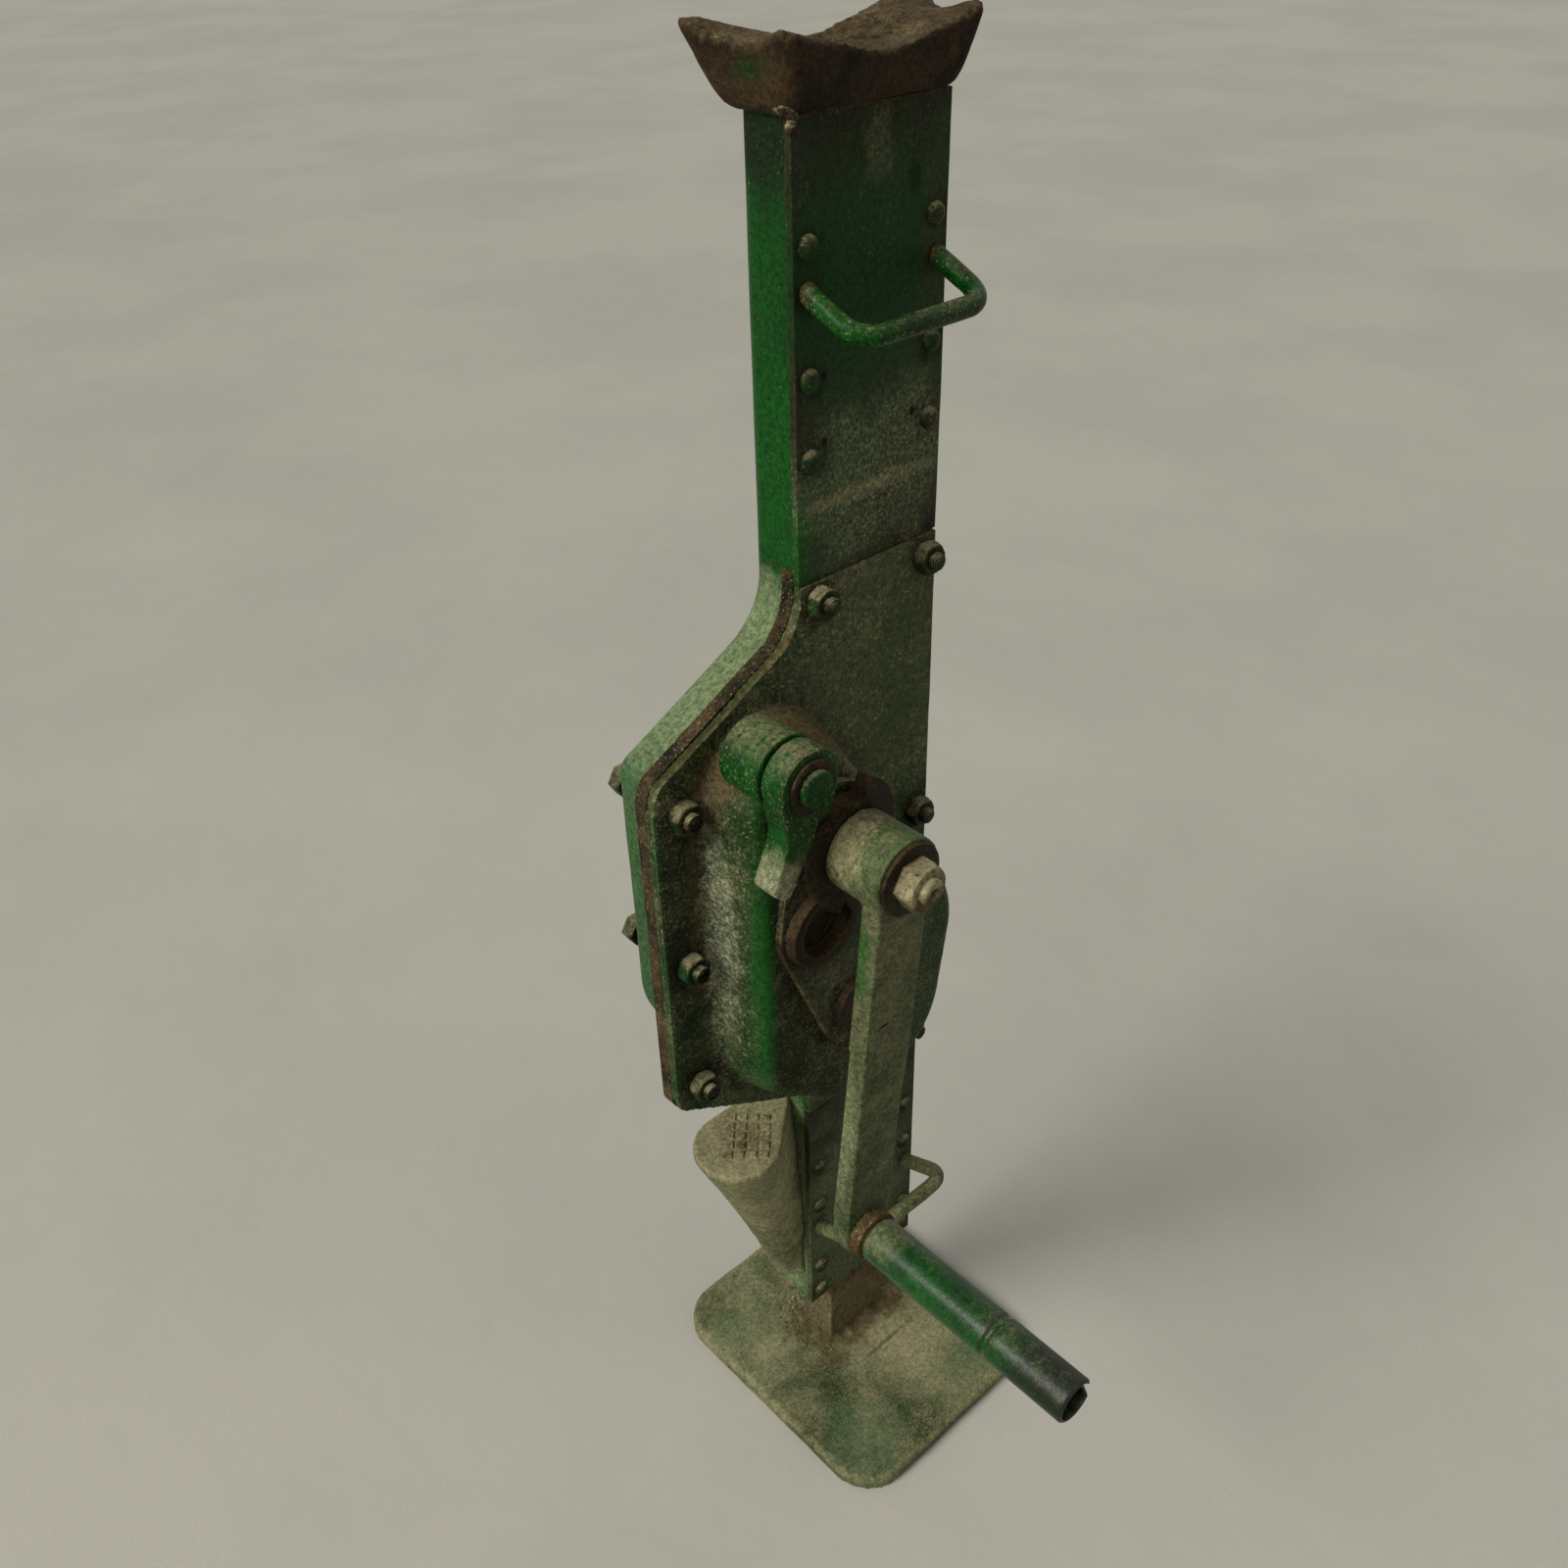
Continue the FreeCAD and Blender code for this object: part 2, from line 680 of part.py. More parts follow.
def plate_rivets():
    rivets = []
    for side in (-1, 1):
        for z in rivet_heights:
            dome = [(0, plate_front - rivet_head_height),
                    (rivet_head * 0.55, plate_front - rivet_head_height * 0.85),
                    (rivet_head * 0.9, plate_front - rivet_head_height * 0.4), (rivet_head, plate_front),
                    (rivet_shank, plate_front), (rivet_shank, plate_front + rivet_depth),
                    (0, plate_front + rivet_depth)]
            rivets.append(turned((side * rivet_x, z), dome))
    return Part.makeCompound(rivets)


def cover_studs():
    studs = [rod(site, bolt_radius, cover_stud_end, plate_back + stud_depth) for site in stud_sites]
    return Part.makeCompound(studs)


def cover_bolts():
    bolts = []
    for site in through_sites:
        head = hexagon(site, nut_flats, shell_back, shell_back + nut_height)
        bolts.append(rod(site, bolt_radius, cover_stud_end, shell_back + 1).fuse(head))
    head = hexagon(corner_site, nut_flats, frame_back, frame_back + nut_height)
    bolts.append(rod(corner_site, bolt_radius, cover_stud_end, frame_back + 1).fuse(head))
    return Part.makeCompound(bolts)


def cover_nuts():
    nuts = []
    for site in stud_sites + through_sites + (corner_site,):
        nut = hexagon(site, nut_flats, cover_front - nut_height, cover_front)
        bore = rod(site, bolt_radius + shank_clearance, cover_front - nut_height - 1, cover_front + 1)
        nuts.append(nut.cut(bore))
    return Part.makeCompound(nuts)


# Four-horned head: flared block, dished both ways
def level_wire(front_half, back_half, front, back, radius, z):
    corners = [(front_half, front), (back_half, back), (-back_half, back), (-front_half, front)]
    loop = Part.makePolygon([point(x, y, z) for x, y in corners + corners[:1]])
    box = Part.Face(loop).extrude(point(0, 0, 1))
    uprights = [e for e in box.Edges if abs(e.Vertexes[0].Z - e.Vertexes[1].Z) > 0.5]
    box = box.makeFillet(radius, uprights)
    base = [f for f in box.Faces if f.BoundBox.ZMax < z + 1e-6][0]
    return base.OuterWire


def horn_head():
    foot_half = column_half + head_foot_overhang
    foot_front = plate_front - head_foot_overhang
    foot_back = shell_back + head_foot_overhang
    sections = []
    for part, flare in ((0.0, 0.0), (0.08, 0.25), (0.28, 0.5), (0.64, 0.75), (1.0, 1.0)):
        back_half = foot_half + (head_top_half - foot_half) * flare
        front_half = foot_half + (head_top_front_half - foot_half) * flare
        front = foot_front + (head_top_front - foot_front) * flare
        back = foot_back + (head_top_back - foot_back) * flare
        level = column_top + head_height * part
        sections.append(level_wire(front_half, back_half, front, back, head_corner, level))
    block = Part.makeLoft(sections, True, True)
    top = column_top + head_height
    middle_y = (head_top_front + head_top_back) / 2.0
    across = head_top_half - head_rim_x
    long_radius = (across ** 2 + head_valley ** 2) / (2 * head_valley)
    valley_z = top - head_valley_rim - head_valley + long_radius
    depth = (head_top_back - head_top_front) / 2.0 - head_rim_y
    cross_radius = (depth ** 2 + head_trough ** 2) / (2 * head_trough)
    trough_z = top - head_trough_rim - head_trough + cross_radius
    reach = 2 * head_top_half
    valley = Part.makeCylinder(long_radius, 2 * reach, point(0, -reach, valley_z), point(0, 1, 0))
    trough = Part.makeCylinder(cross_radius, 2 * reach, point(-reach, middle_y, trough_z), point(1, 0, 0))
    bowl = Part.makeSphere(head_bowl_radius, point(0, middle_y, top - head_bowl_depth + head_bowl_radius))
    head = block.cut(valley).cut(trough).cut(bowl)
    plug_half = shell_inner_half - head_plug_gap
    plug_front = plate_back + head_plug_gap
    plug_back = shell_back - shell_wall - head_plug_gap
    plug = Part.makeBox(2 * plug_half, plug_back - plug_front, head_plug_depth,
                        point(-plug_half, plug_front, plug_bottom))
    middle = (plug_front + plug_back) / 2.0
    corners = [e for e in plug.Edges if e.BoundBox.ZLength > 1 and e.BoundBox.YMin > middle]
    plug = plug.makeFillet(shell_back_radius - shell_wall, corners)
    return head.fuse(plug)


# Claw: spoon-shaped toe that tapers down to its root; each level is a nose circle and a root circle
def claw():
    sections = [hull_wire((root, nose), claw_top - drop, False) for drop, nose, root in claw_levels]
    body = Part.makeLoft(sections, True, True)
    seat = dished(shell_inset - claw_seat_gap, 0.0, plate_back, shell_back + claw_seat_gap,
                  shell_back_radius + claw_seat_gap)
    return body.cut(seat)


# Bail handle: bent rod ending flat on the plate
def bail(z, tilt, handle_reach):
    inner = handle_root
    out = (math.cos(tilt), math.sin(tilt))

    def at(x, reach):
        return point(x, plate_front - reach * out[0], z + reach * out[1])

    span = handle_half_span
    diag = handle_bend * (1 - math.sqrt(0.5))
    edges = [Part.makeLine(at(-span, -inner), at(-span, handle_reach - handle_bend)),
             Part.Arc(at(-span, handle_reach - handle_bend), at(-span + diag, handle_reach - diag),
                      at(-span + handle_bend, handle_reach)).toShape(),
             Part.makeLine(at(-span + handle_bend, handle_reach), at(span - handle_bend, handle_reach)),
             Part.Arc(at(span - handle_bend, handle_reach), at(span - diag, handle_reach - diag),
                      at(span, handle_reach - handle_bend)).toShape(),
             Part.makeLine(at(span, handle_reach - handle_bend), at(span, -inner))]
    direction = at(0, 1) - at(0, 0)
    circle = Part.Wire(Part.makeCircle(handle_rod, at(-span, -inner), direction))
    rod_shape = Part.Wire(edges).makePipeShell([circle], True, False)
    behind = Part.makeBox(4 * column_half, 4 * handle_root, 4 * column_half,
                          point(-2 * column_half, plate_front, z - 2 * column_half))
    return rod_shape.cut(behind)


# Shafts
def crank_shaft():
    stud_end = crank_front - crank_washer_thickness - crank_nut_height - crank_stud_length
    pinion_end = rack_pinion_front + second_gear_width + 2 * pinion_overhang
    pinion = gear(crank_axis, gear_module, crank_teeth, gear_addendum, gear_dedendum, crank_phase,
                  rack_pinion_front, pinion_end - rack_pinion_front)
    bore_end = stud_end + crank_stud_bore_depth
    body = turned(crank_axis, [(0, bore_end), (crank_stud_bore, bore_end), (crank_stud_bore, stud_end),
                               (crank_stud_radius - crank_stud_chamfer, stud_end),
                               (crank_stud_radius, stud_end + crank_stud_chamfer),
                               (crank_stud_radius, crank_front),
                               (crank_seat, crank_front), (crank_seat, ratchet_front),
                               (crank_journal, ratchet_front), (crank_journal, rack_pinion_front),
                               (rear_journal, rack_pinion_front), (rear_journal, rear_shaft_end),
                               (0, rear_shaft_end)])
    return body.fuse(pinion)


def second_shaft():
    front = bearing_face + bush_floor + shaft_end_gap
    third_front = main_gear_front - pinion_overhang
    third_end = main_gear_front + main_gear_width + pinion_overhang
    pinion = gear(second_axis, gear_module, third_teeth, gear_addendum, gear_dedendum, third_phase,
                  third_front, third_end - third_front)
    body = turned(second_axis, [(0, front), (second_journal, front),
                                (second_journal, second_gear_front + second_gear_width),
                                (rear_journal, second_gear_front + second_gear_width),
                                (rear_journal, rear_shaft_end), (0, rear_shaft_end)])
    return body.fuse(pinion)


def second_gear():
    body = gear(second_axis, gear_module, second_teeth, gear_addendum, gear_dedendum, second_phase,
                second_gear_front, second_gear_width)
    return body.cut(rod(second_axis, second_journal + shank_clearance, second_gear_front - 1,
                        second_gear_front + second_gear_width + 1))


def main_shaft():
    front = bearing_face - main_bush_proud + bush_floor + main_shaft_end_gap
    pinion = gear(main_axis, rack_module, rack_pinion_teeth, rack_pinion_addendum, rack_pinion_dedendum, 0.0,
                  rack_pinion_front, rack_pinion_width)
    pinion_seat = rack_pinion_front + pinion_overhang
    body = turned(main_axis, [(0, front), (main_journal, front), (main_journal, pinion_seat),
                              (rear_journal, pinion_seat), (rear_journal, rear_shaft_end),
                              (0, rear_shaft_end)])
    return body.fuse(pinion)


def main_gear():
    body = gear(main_axis, gear_module, main_teeth, gear_addendum, gear_dedendum, main_phase,
                main_gear_front, main_gear_width)
    return body.cut(rod(main_axis, main_journal + shank_clearance, main_gear_front - 1,
                        main_gear_front + main_gear_width + 1))


# Ratchet wheel: each tooth swells gradually, then drops square
def ratchet_wheel():
    steps = 6
    corners = []
    for tooth in range(ratchet_teeth):
        start = math.radians(170.0) + 2 * math.pi * tooth / ratchet_teeth
        for i in range(steps + 1):
            angle = start + 0.93 * 2 * math.pi / ratchet_teeth * i / steps
            radius = ratchet_root + (ratchet_tip - ratchet_root) * i / steps
            corners.append(point(crank_axis[0] + radius * math.cos(angle), ratchet_front,
                                 crank_axis[1] + radius * math.sin(angle)))
    wheel = plate(Part.makePolygon(corners + corners[:1]), ratchet_back - ratchet_front)
    return wheel.cut(rod(crank_axis, crank_journal + shank_clearance, ratchet_front - 1, ratchet_back + 1))


def crank_arm():
    hub = rod(crank_axis, crank_hub_radius, crank_front, ratchet_front)
    circles = [(crank_axis[0], crank_axis[1], crank_arm_half_width),
               (grip_axis[0], grip_axis[1], crank_arm_end)]
    arm = plate(hull_wire(circles, crank_front), crank_arm_thickness)
    body = hub.fuse(arm)
    body = body.cut(rod(crank_axis, crank_seat + shank_clearance, crank_front - 1, ratchet_front + 1))
    return body.cut(rod(grip_axis, spindle_tang + shank_clearance, crank_front - 1,
                        crank_front + crank_arm_thickness + 1))


def crank_washer():
    back = crank_front - crank_washer_thickness
    return ring(crank_axis, crank_washer_radius, crank_stud_radius + shank_clearance, back, crank_front)


def crank_nut():
    back = crank_front - crank_washer_thickness
    nut = hexagon(crank_axis, crank_nut_flats, back - crank_nut_height, back)
    return nut.cut(rod(crank_axis, crank_stud_radius + shank_clearance, back - crank_nut_height - 1,
                       back + 1))


# Grip: tube turning on a spindle, kept by a rolled groove
def grip_near():
    return crank_front - grip_collar - grip_gap


def grip_groove_y():
    return grip_near() - grip_length + grip_groove_from_end


def grip_spindle():
    bore = grip_radius - grip_wall
    radius = bore - running_clearance
    groove = radius - grip_groove_depth - grip_groove_gap
    y = grip_groove_y()
    inner = spindle_groove_half
    outer = spindle_groove_half + spindle_groove_slope
    end = crank_front - grip_spindle_length
    collar = crank_front - grip_collar
    back = crank_front + crank_arm_thickness
    rivet_end = back + spindle_rivet_height
    return turned(grip_axis, [(0, end), (radius - grip_chamfer, end), (radius, end + grip_chamfer),
                              (radius, y - outer), (groove, y - inner), (groove, y + inner),
                              (radius, y + outer), (radius, collar), (grip_collar_radius, collar),
                              (grip_collar_radius, crank_front),
                              (spindle_tang, crank_front), (spindle_tang, back), (spindle_rivet, back),
                              (spindle_rivet, rivet_end), (0, rivet_end)])


def grip_sleeve():
    bore = grip_radius - grip_wall
    y = grip_groove_y()
    near = grip_near()
    far = near - grip_length
    groove = grip_radius - grip_groove_depth
    groove_edge = grip_groove_half + grip_groove_slope
    bead = bore - grip_groove_depth
    bead_edge = sleeve_bead_half + sleeve_bead_slope
    outer = [(grip_radius - grip_chamfer, far), (grip_radius, far + grip_chamfer),
             (grip_radius, y - groove_edge),
             (groove, y - grip_groove_half), (groove, y + grip_groove_half), (grip_radius, y + groove_edge),
             (grip_radius, near - grip_chamfer), (grip_radius - grip_chamfer, near)]
    inner = [(bore, near), (bore, y + bead_edge), (bead, y + sleeve_bead_half), (bead, y - sleeve_bead_half),
             (bore, y - bead_edge), (bore, far)]
    return turned(grip_axis, outer + inner)


# Pawl: hub, nose towards the ratchet, curved thumb tail
def pawl_boss_blank():
    return rod(pawl_axis, pawl_boss_radius, pawl_back + pawl_boss_step, cover_front - pawl_boss_foot)


def pawl_boss():
    collar = rod(pawl_axis, pawl_collar_radius, pawl_back, pawl_back + pawl_collar_height)
    body = pawl_boss_blank().fuse(collar)
    pan_side = pan_body(0.0, cover_front)
    body = body.cut(pan_side)
    end = pawl_back - pawl_thickness - pawl_washer_thickness
    top = end - pawl_head_height
    root = pawl_back + pawl_pin_root
    pin = turned(pawl_axis, [(0, top), (pawl_head_radius - pawl_head_chamfer, top),
                             (pawl_head_radius, top + pawl_head_chamfer), (pawl_head_radius, end),
                             (pawl_pin_radius, end), (pawl_pin_radius, root), (0, root)])
    return body.fuse(pin)


def pawl():
    front = pawl_back - pawl_thickness
    px, pz = pawl_axis
    hub = rod(pawl_axis, pawl_hub_radius, front, pawl_back)
    tail = [(px + x, pz + z, radius) for x, z, radius in pawl_tail_outline]
    tail_plate = plate(rounded_wire(tail, front), pawl_thickness)
    ux = crank_axis[0] - px
    uz = crank_axis[1] - pz
    length = math.hypot(ux, uz)
    reach = length - ratchet_tip - pawl_ratchet_gap
    tip_x = px + ux / length * reach
    tip_z = pz + uz / length * reach
    nose = [(px + pawl_nose_left[0], pz + pawl_nose_left[1], 0),
            (tip_x + pawl_nose_heel[0], tip_z + pawl_nose_heel[1], pawl_heel_radius),
            (tip_x, tip_z, pawl_tip_radius), (px + pawl_nose_right[0], pz + pawl_nose_right[1], 0)]
    nose_plate = plate(rounded_wire(nose, front), pawl_thickness)
    body = hub.fuse(tail_plate).fuse(nose_plate)
    body = body.cut(rod(crank_axis, ratchet_tip + pawl_ratchet_gap, front - 1, pawl_back + 1))
    return body.cut(rod(pawl_axis, pawl_pin_radius + running_clearance, front - 1, pawl_back + 1))


def pawl_washer():
    front = pawl_back - pawl_thickness
    return ring(pawl_axis, pawl_washer_radius, pawl_pin_radius + shank_clearance,
                front - pawl_washer_thickness, front)


left_inner = rack_tip_x - guide_clearance
right_inner = rack_back_x + guide_clearance
save(foot_plate(), "foot_plate")
save(rack(), "rack")
save(housing_shell(), "housing_shell")
save(flare_frame(), "flare_frame")
save(front_plate(seam_z, column_top), "upper_plate")
save(front_plate(column_bottom, cover_bottom - seam_gap), "lower_plate")
save(gear_cover(), "gear_cover")
save(bearing_plate(), "bearing_plate")
save(front_bushes(), "front_bushes")
save(rear_bushes(), "rear_bushes")
save(guide_bar(right_inner, shell_inner_half, column_bottom + 2, plug_bottom), "right_guide")
save(guide_bar(-shell_inner_half, left_inner, flare_top_inner + 2, plug_bottom), "left_guide_upper")
save(guide_bar(-shell_inner_half, left_inner, column_bottom + 2, cover_bottom + 4), "left_guide_lower")
save(plate_rivets(), "plate_rivets")
save(cover_studs(), "cover_studs")
save(cover_bolts(), "cover_bolts")
save(cover_nuts(), "cover_nuts")
save(horn_head(), "horn_head")
save(claw(), "claw")
save(bail(upper_handle_z, upper_handle_tilt, upper_handle_reach), "upper_handle")
save(bail(lower_handle_z, lower_handle_tilt, lower_handle_reach), "lower_handle")
save(crank_shaft(), "crank_shaft")
save(second_shaft(), "second_shaft")
save(second_gear(), "second_gear")
save(main_shaft(), "main_shaft")
save(main_gear(), "main_gear")
save(ratchet_wheel(), "ratchet_wheel")
save(crank_arm(), "crank_arm")
save(crank_washer(), "crank_washer")
save(crank_nut(), "crank_nut")
save(grip_spindle(), "grip_spindle")
save(grip_sleeve(), "grip_sleeve")
save(pawl_boss(), "pawl_boss")
save(pawl(), "pawl")
save(pawl_washer(), "pawl_washer")
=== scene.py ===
import json
import math

import bmesh
import bpy
from mathutils import Matrix, Vector, kdtree, noise
from mathutils.bvhtree import BVHTree


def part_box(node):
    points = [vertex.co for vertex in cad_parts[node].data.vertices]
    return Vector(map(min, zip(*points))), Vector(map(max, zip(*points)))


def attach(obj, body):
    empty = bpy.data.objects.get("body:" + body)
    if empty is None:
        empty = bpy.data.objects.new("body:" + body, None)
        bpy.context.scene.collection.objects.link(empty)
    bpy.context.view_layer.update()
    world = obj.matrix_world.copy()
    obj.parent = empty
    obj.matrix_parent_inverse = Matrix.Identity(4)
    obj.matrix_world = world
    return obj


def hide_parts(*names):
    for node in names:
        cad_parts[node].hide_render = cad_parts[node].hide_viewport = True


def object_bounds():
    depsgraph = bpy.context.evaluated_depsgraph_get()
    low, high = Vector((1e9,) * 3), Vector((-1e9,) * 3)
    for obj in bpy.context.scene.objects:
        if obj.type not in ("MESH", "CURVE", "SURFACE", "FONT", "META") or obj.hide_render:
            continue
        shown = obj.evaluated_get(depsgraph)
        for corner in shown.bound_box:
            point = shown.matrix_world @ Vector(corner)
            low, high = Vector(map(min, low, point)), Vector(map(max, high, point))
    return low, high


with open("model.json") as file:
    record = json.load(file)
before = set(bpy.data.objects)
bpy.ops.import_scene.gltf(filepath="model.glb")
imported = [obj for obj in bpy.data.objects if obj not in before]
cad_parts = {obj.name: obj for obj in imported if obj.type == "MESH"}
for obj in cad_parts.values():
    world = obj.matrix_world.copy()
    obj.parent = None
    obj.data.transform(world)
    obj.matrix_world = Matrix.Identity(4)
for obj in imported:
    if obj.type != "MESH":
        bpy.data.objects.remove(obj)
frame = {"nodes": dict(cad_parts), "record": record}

bl_info = {
    "name": "Rack jack",
    "version": (1, 0, 0),
    "blender": (4, 5, 0),
    "location": "View3D > Sidebar > Rack jack",
    "description": "Dresses the rack jack's frame in worn paint, rust and dust, and sets up its studio",
    "category": "Object",
}

MM = 0.001
TURN = 2 * math.pi
CAD_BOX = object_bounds()

# How the frame's meshes are joined, split and measured
MERGE_GAP = 1e-6
SHARP_ANGLE = math.radians(35.0)
SMOOTH_ANGLE = math.radians(42.0)
FLAT_ANGLE = math.radians(0.6)
SAMPLE_STEP = 1.5 * MM
NOWHERE_NEAR = 60 * MM
NOISE_SEED = Vector((3.7, 1.9, 5.3))

# Unevenness of the surfaces: wavelength in millimetres, with a share of a depth or a depth in millimetres
SHEET_SHARES = ((60, 1.0), (17, 0.4))
CAST_SHARES = ((22, 1.0), (7, 0.5), (2.6, 0.3))
RACK_WAVES = ((9, 0.25), (3, 0.1))
PAN_WAVES = ((60, 0.3), (12, 0.1))
ROD_WAVES = ((14, 0.25), (4, 0.1))
ARM_WAVES = ((40, 0.3), (9, 0.06))
PAWL_WAVES = ((12, 0.2), (4, 0.1))
WASHER_WAVES = ((9, 0.1),)
BUSH_WAVES = ((9, 0.08),)
NUT_WAVES = ((7, 0.12),)
NO_WAVES = ()

# Places and reaches of the details, in metres and radians; the steps of the weld are in millimetres
CRANK_LEAN = math.radians(6.0)
HEAP_REACH = 16 * MM
HEAP_START = 2 * MM
LUMP_SIZE = 6 * MM
CRUMB_REACH = 14 * MM
CRUMB_LIFT = 0.15
RIM_RISE = 20 * MM
NOTCH_REACH = TURN / 14
SEAM_BOTTOM = 484 * MM
SEAM_TOP = 528 * MM
SEAM_DEPTHS = (0.2 * MM, 2.0 * MM, 3.8 * MM)
SEAM_STEPS = 24
WELD_STEPS = ((-1.5, 4, 2), (-1, 1, 3), (0, 0, 2), (1.5, 0, 0), (0, 0, -3))
BEAD_SPACING = 0.55
CHEQUER_MIDDLE = (-72 * MM, 5 * MM)
CHEQUER_TURN = TURN / 8
CHEQUER_ROWS = (-2, -1, 0, 1, 2)
CHEQUER_COLUMNS = (-1.5, -0.5, 0.5, 1.5)

# Form of a nut: steps round it, then shares of its width across flats, the slope of its chamfer and its rows
NUT_STEPS = 72
NUT_CROWN = 0.475
NUT_BEVEL = 0.03
NUT_SLOPE = 1.75
NUT_ROWS = (0.0, 0.35, 0.7, 1.0)

# Fineness of the speckles, per metre
GAP_SCALE = 260.0
GRAIN_SCALE = 420.0
FLECK_SCALE = 640.0
SPECK_SCALE = 700.0
POWDER_SCALE = 900.0

# Ranges over which a value becomes a mask: nothing at the first number, all at the second
RISE_RANGE = (-0.1, 0.9)
FILM_RANGE = (0.83, 1.07)
LOOSE_RANGE = (0.95, 1.07)
PATCH_RANGE = (1.05, 0.4)
FLECK_RANGE = (0.44, 0.64)
PIT_RANGE = (0.62, 0.75)
STREAK_RANGE = (0.86, 0.98)
CLOUD_RANGE = (0.36, 0.64)
MOTTLE_RANGE = (0.35, 0.65)
GAP_RANGE = (0.38, 0.52)
GRAIN_RANGE = (0.3, 0.7)
BLOTCH_SOFTNESS = 0.12

DUST_ROUGH = 0.92
SOIL_ROUGH = 0.9
DIRT_ROUGH = 0.85
PAINT_SHINE = 0.12
GRIP_SHINE = 0.3
BLACK = (0.0, 0.0, 0.0, 1.0)

# Stage
FLOOR_REACH = 9.0
SUN_PLACE = (-1.8, 0.3, 1.9)
KEY_PLACE = (-1.8, -0.2, 1.5)
KEY_SIZE = 1.0
LAMP_TINT = (1.0, 0.98, 0.94)
SKY_TINT = (1.0, 0.985, 0.95, 1.0)
SENSOR_WIDTH = 36.0
CAMERA_PLACE = (-0.3875, -0.3819, 0.785)
CAMERA_RIGHT = Vector((0.73439193, -0.67834647, -0.02268402))
CAMERA_UP = Vector((0.39922076, 0.40469321, 0.82270662))

# Kinds of node sockets
FLOAT = "NodeSocketFloat"
GEOMETRY = "NodeSocketGeometry"
MATERIAL = "NodeSocketMaterial"
OBJECT = "NodeSocketObject"
SOCKET_KINDS = {float: FLOAT, int: "NodeSocketInt", tuple: "NodeSocketVector"}


def shade(red, green, blue):
    """Linear colour from a display colour of 0 to 255."""
    linear = []
    for level in (red, green, blue):
        part = level / 255.0
        linear.append(part / 12.92 if part <= 0.04045 else ((part + 0.055) / 1.055) ** 2.4)
    return tuple(linear)


def number_property(name, description, value, least=0.0, **kind):
    return bpy.props.FloatProperty(name=name, description=description, default=value, min=least, **kind)


def size_property(name, description, millimetres):
    return number_property(name, description, millimetres * MM, unit="LENGTH", subtype="DISTANCE",
                           precision=5)


def colour_property(name, description, colour):
    return bpy.props.FloatVectorProperty(name=name, description=description, default=colour, size=3,
                                         min=0.0, max=1.0, subtype="COLOR")


class JackSizes(bpy.types.PropertyGroup):
    """Sizes of the details that are laid over the frame."""
    edge_round: size_property("Edge rounding", "Radius that wear leaves on the sheets' sharp edges", 0.7)
    sheet_wave: size_property("Sheet wave", "How far the pressed sheets wander from flat", 0.25)
    cast_pits: size_property("Casting pits", "Depth of the unevenness of the cast and forged pieces", 0.45)
    thread_pitch: size_property("Thread pitch", "Pitch of the stud threads", 1.25)
    chequer_pitch: size_property("Chequer pitch", "Spacing of the raised squares on the claw", 6.0)
    chequer_height: size_property("Chequer height", "Height of the raised squares on the claw", 0.9)
    weld_bead: size_property("Weld bead", "Radius of a weld bead", 2.3)
    dirt_bead: size_property("Dirt bead", "Radius of the dirt lumps in the seam of the flare", 1.7)
    crumb: size_property("Crumb", "Largest radius of the soil crumbs on the foot", 1.5)
    heap: size_property("Heap", "Height of the soil heaped against the rack", 4.0)
    rim: size_property("Rim", "How much the rim of the head is thickened", 1.8)
    notch: size_property("Notch", "Depth of the notch in the end of the grip", 5.0)


class JackFinish(bpy.types.PropertyGroup):
    """Colours of paint, rust, soil and steel."""
    # Bright green also paints the highlight along the pan's ridge.
    bright_green: colour_property("Bright green", "Clean paint", shade(14, 78, 19))
    deep_green: colour_property("Deep green", "Clean paint where it is thick or shaded", shade(11, 54, 14))
    aged_green: colour_property("Aged green", "Weathered paint of the front plates", shade(38, 58, 28))
    aged_brown: colour_property("Aged brown", "Paint stained by rust and oil", shade(35, 33, 19))
    faded_green: colour_property("Faded green", "Bleached paint of foot and claw", shade(78, 100, 68))
    lime: colour_property("Lime", "Whitish dust", shade(172, 174, 146))
    dust: colour_property("Dust", "Pale soil dust", shade(150, 142, 106))
    # Chalk also paints light into the shaded column side beside the claw.
    chalk: colour_property("Chalk", "Bleached, dusty paint", shade(132, 142, 104))
    soil: colour_property("Soil", "Brown soil in the corners", shade(82, 66, 42))
    # This colour also serves as painted shade: under the head, left of the pan and in the corners.
    grime_and_shade: colour_property("Grime and shade", "Oily dirt", shade(21, 18, 12))
    # Rust also paints the shadow line at the grip's collar.
    rust: colour_property("Rust", "Rusted steel", shade(76, 49, 29))
    iron: colour_property("Iron", "Rusty brown casting", shade(56, 43, 27))
    steel: colour_property("Steel", "Bare steel", shade(150, 148, 140))


class JackStage(bpy.types.PropertyGroup):
    """Floor, light and camera."""
    floor: colour_property("Floor", "Pale floor", shade(192, 190, 179))
    floor_shade: colour_property("Floor shade", "Floor where its cloth is a little darker",
                                 tuple(0.92 * part for part in shade(192, 190, 179)))
    sun_strength: number_property("Sun", "Strength of the soft light from the upper left", 1.95)
    sun_width: number_property("Sun width", "How wide the soft light looks from the floor",
                               math.radians(26.0), subtype="ANGLE")
    key_power: number_property("Key light", "Power of the lamp at the left", 9.0, unit="POWER")
    sky: number_property("Sky", "Strength of the even light from all round", 0.32)
    backdrop: number_property("Backdrop", "Strength of the backdrop as the camera sees it", 0.7)
    focal_length: number_property("Focal length", "Camera lens in millimetres on a 36 mm sensor", 33.42, 1.0)


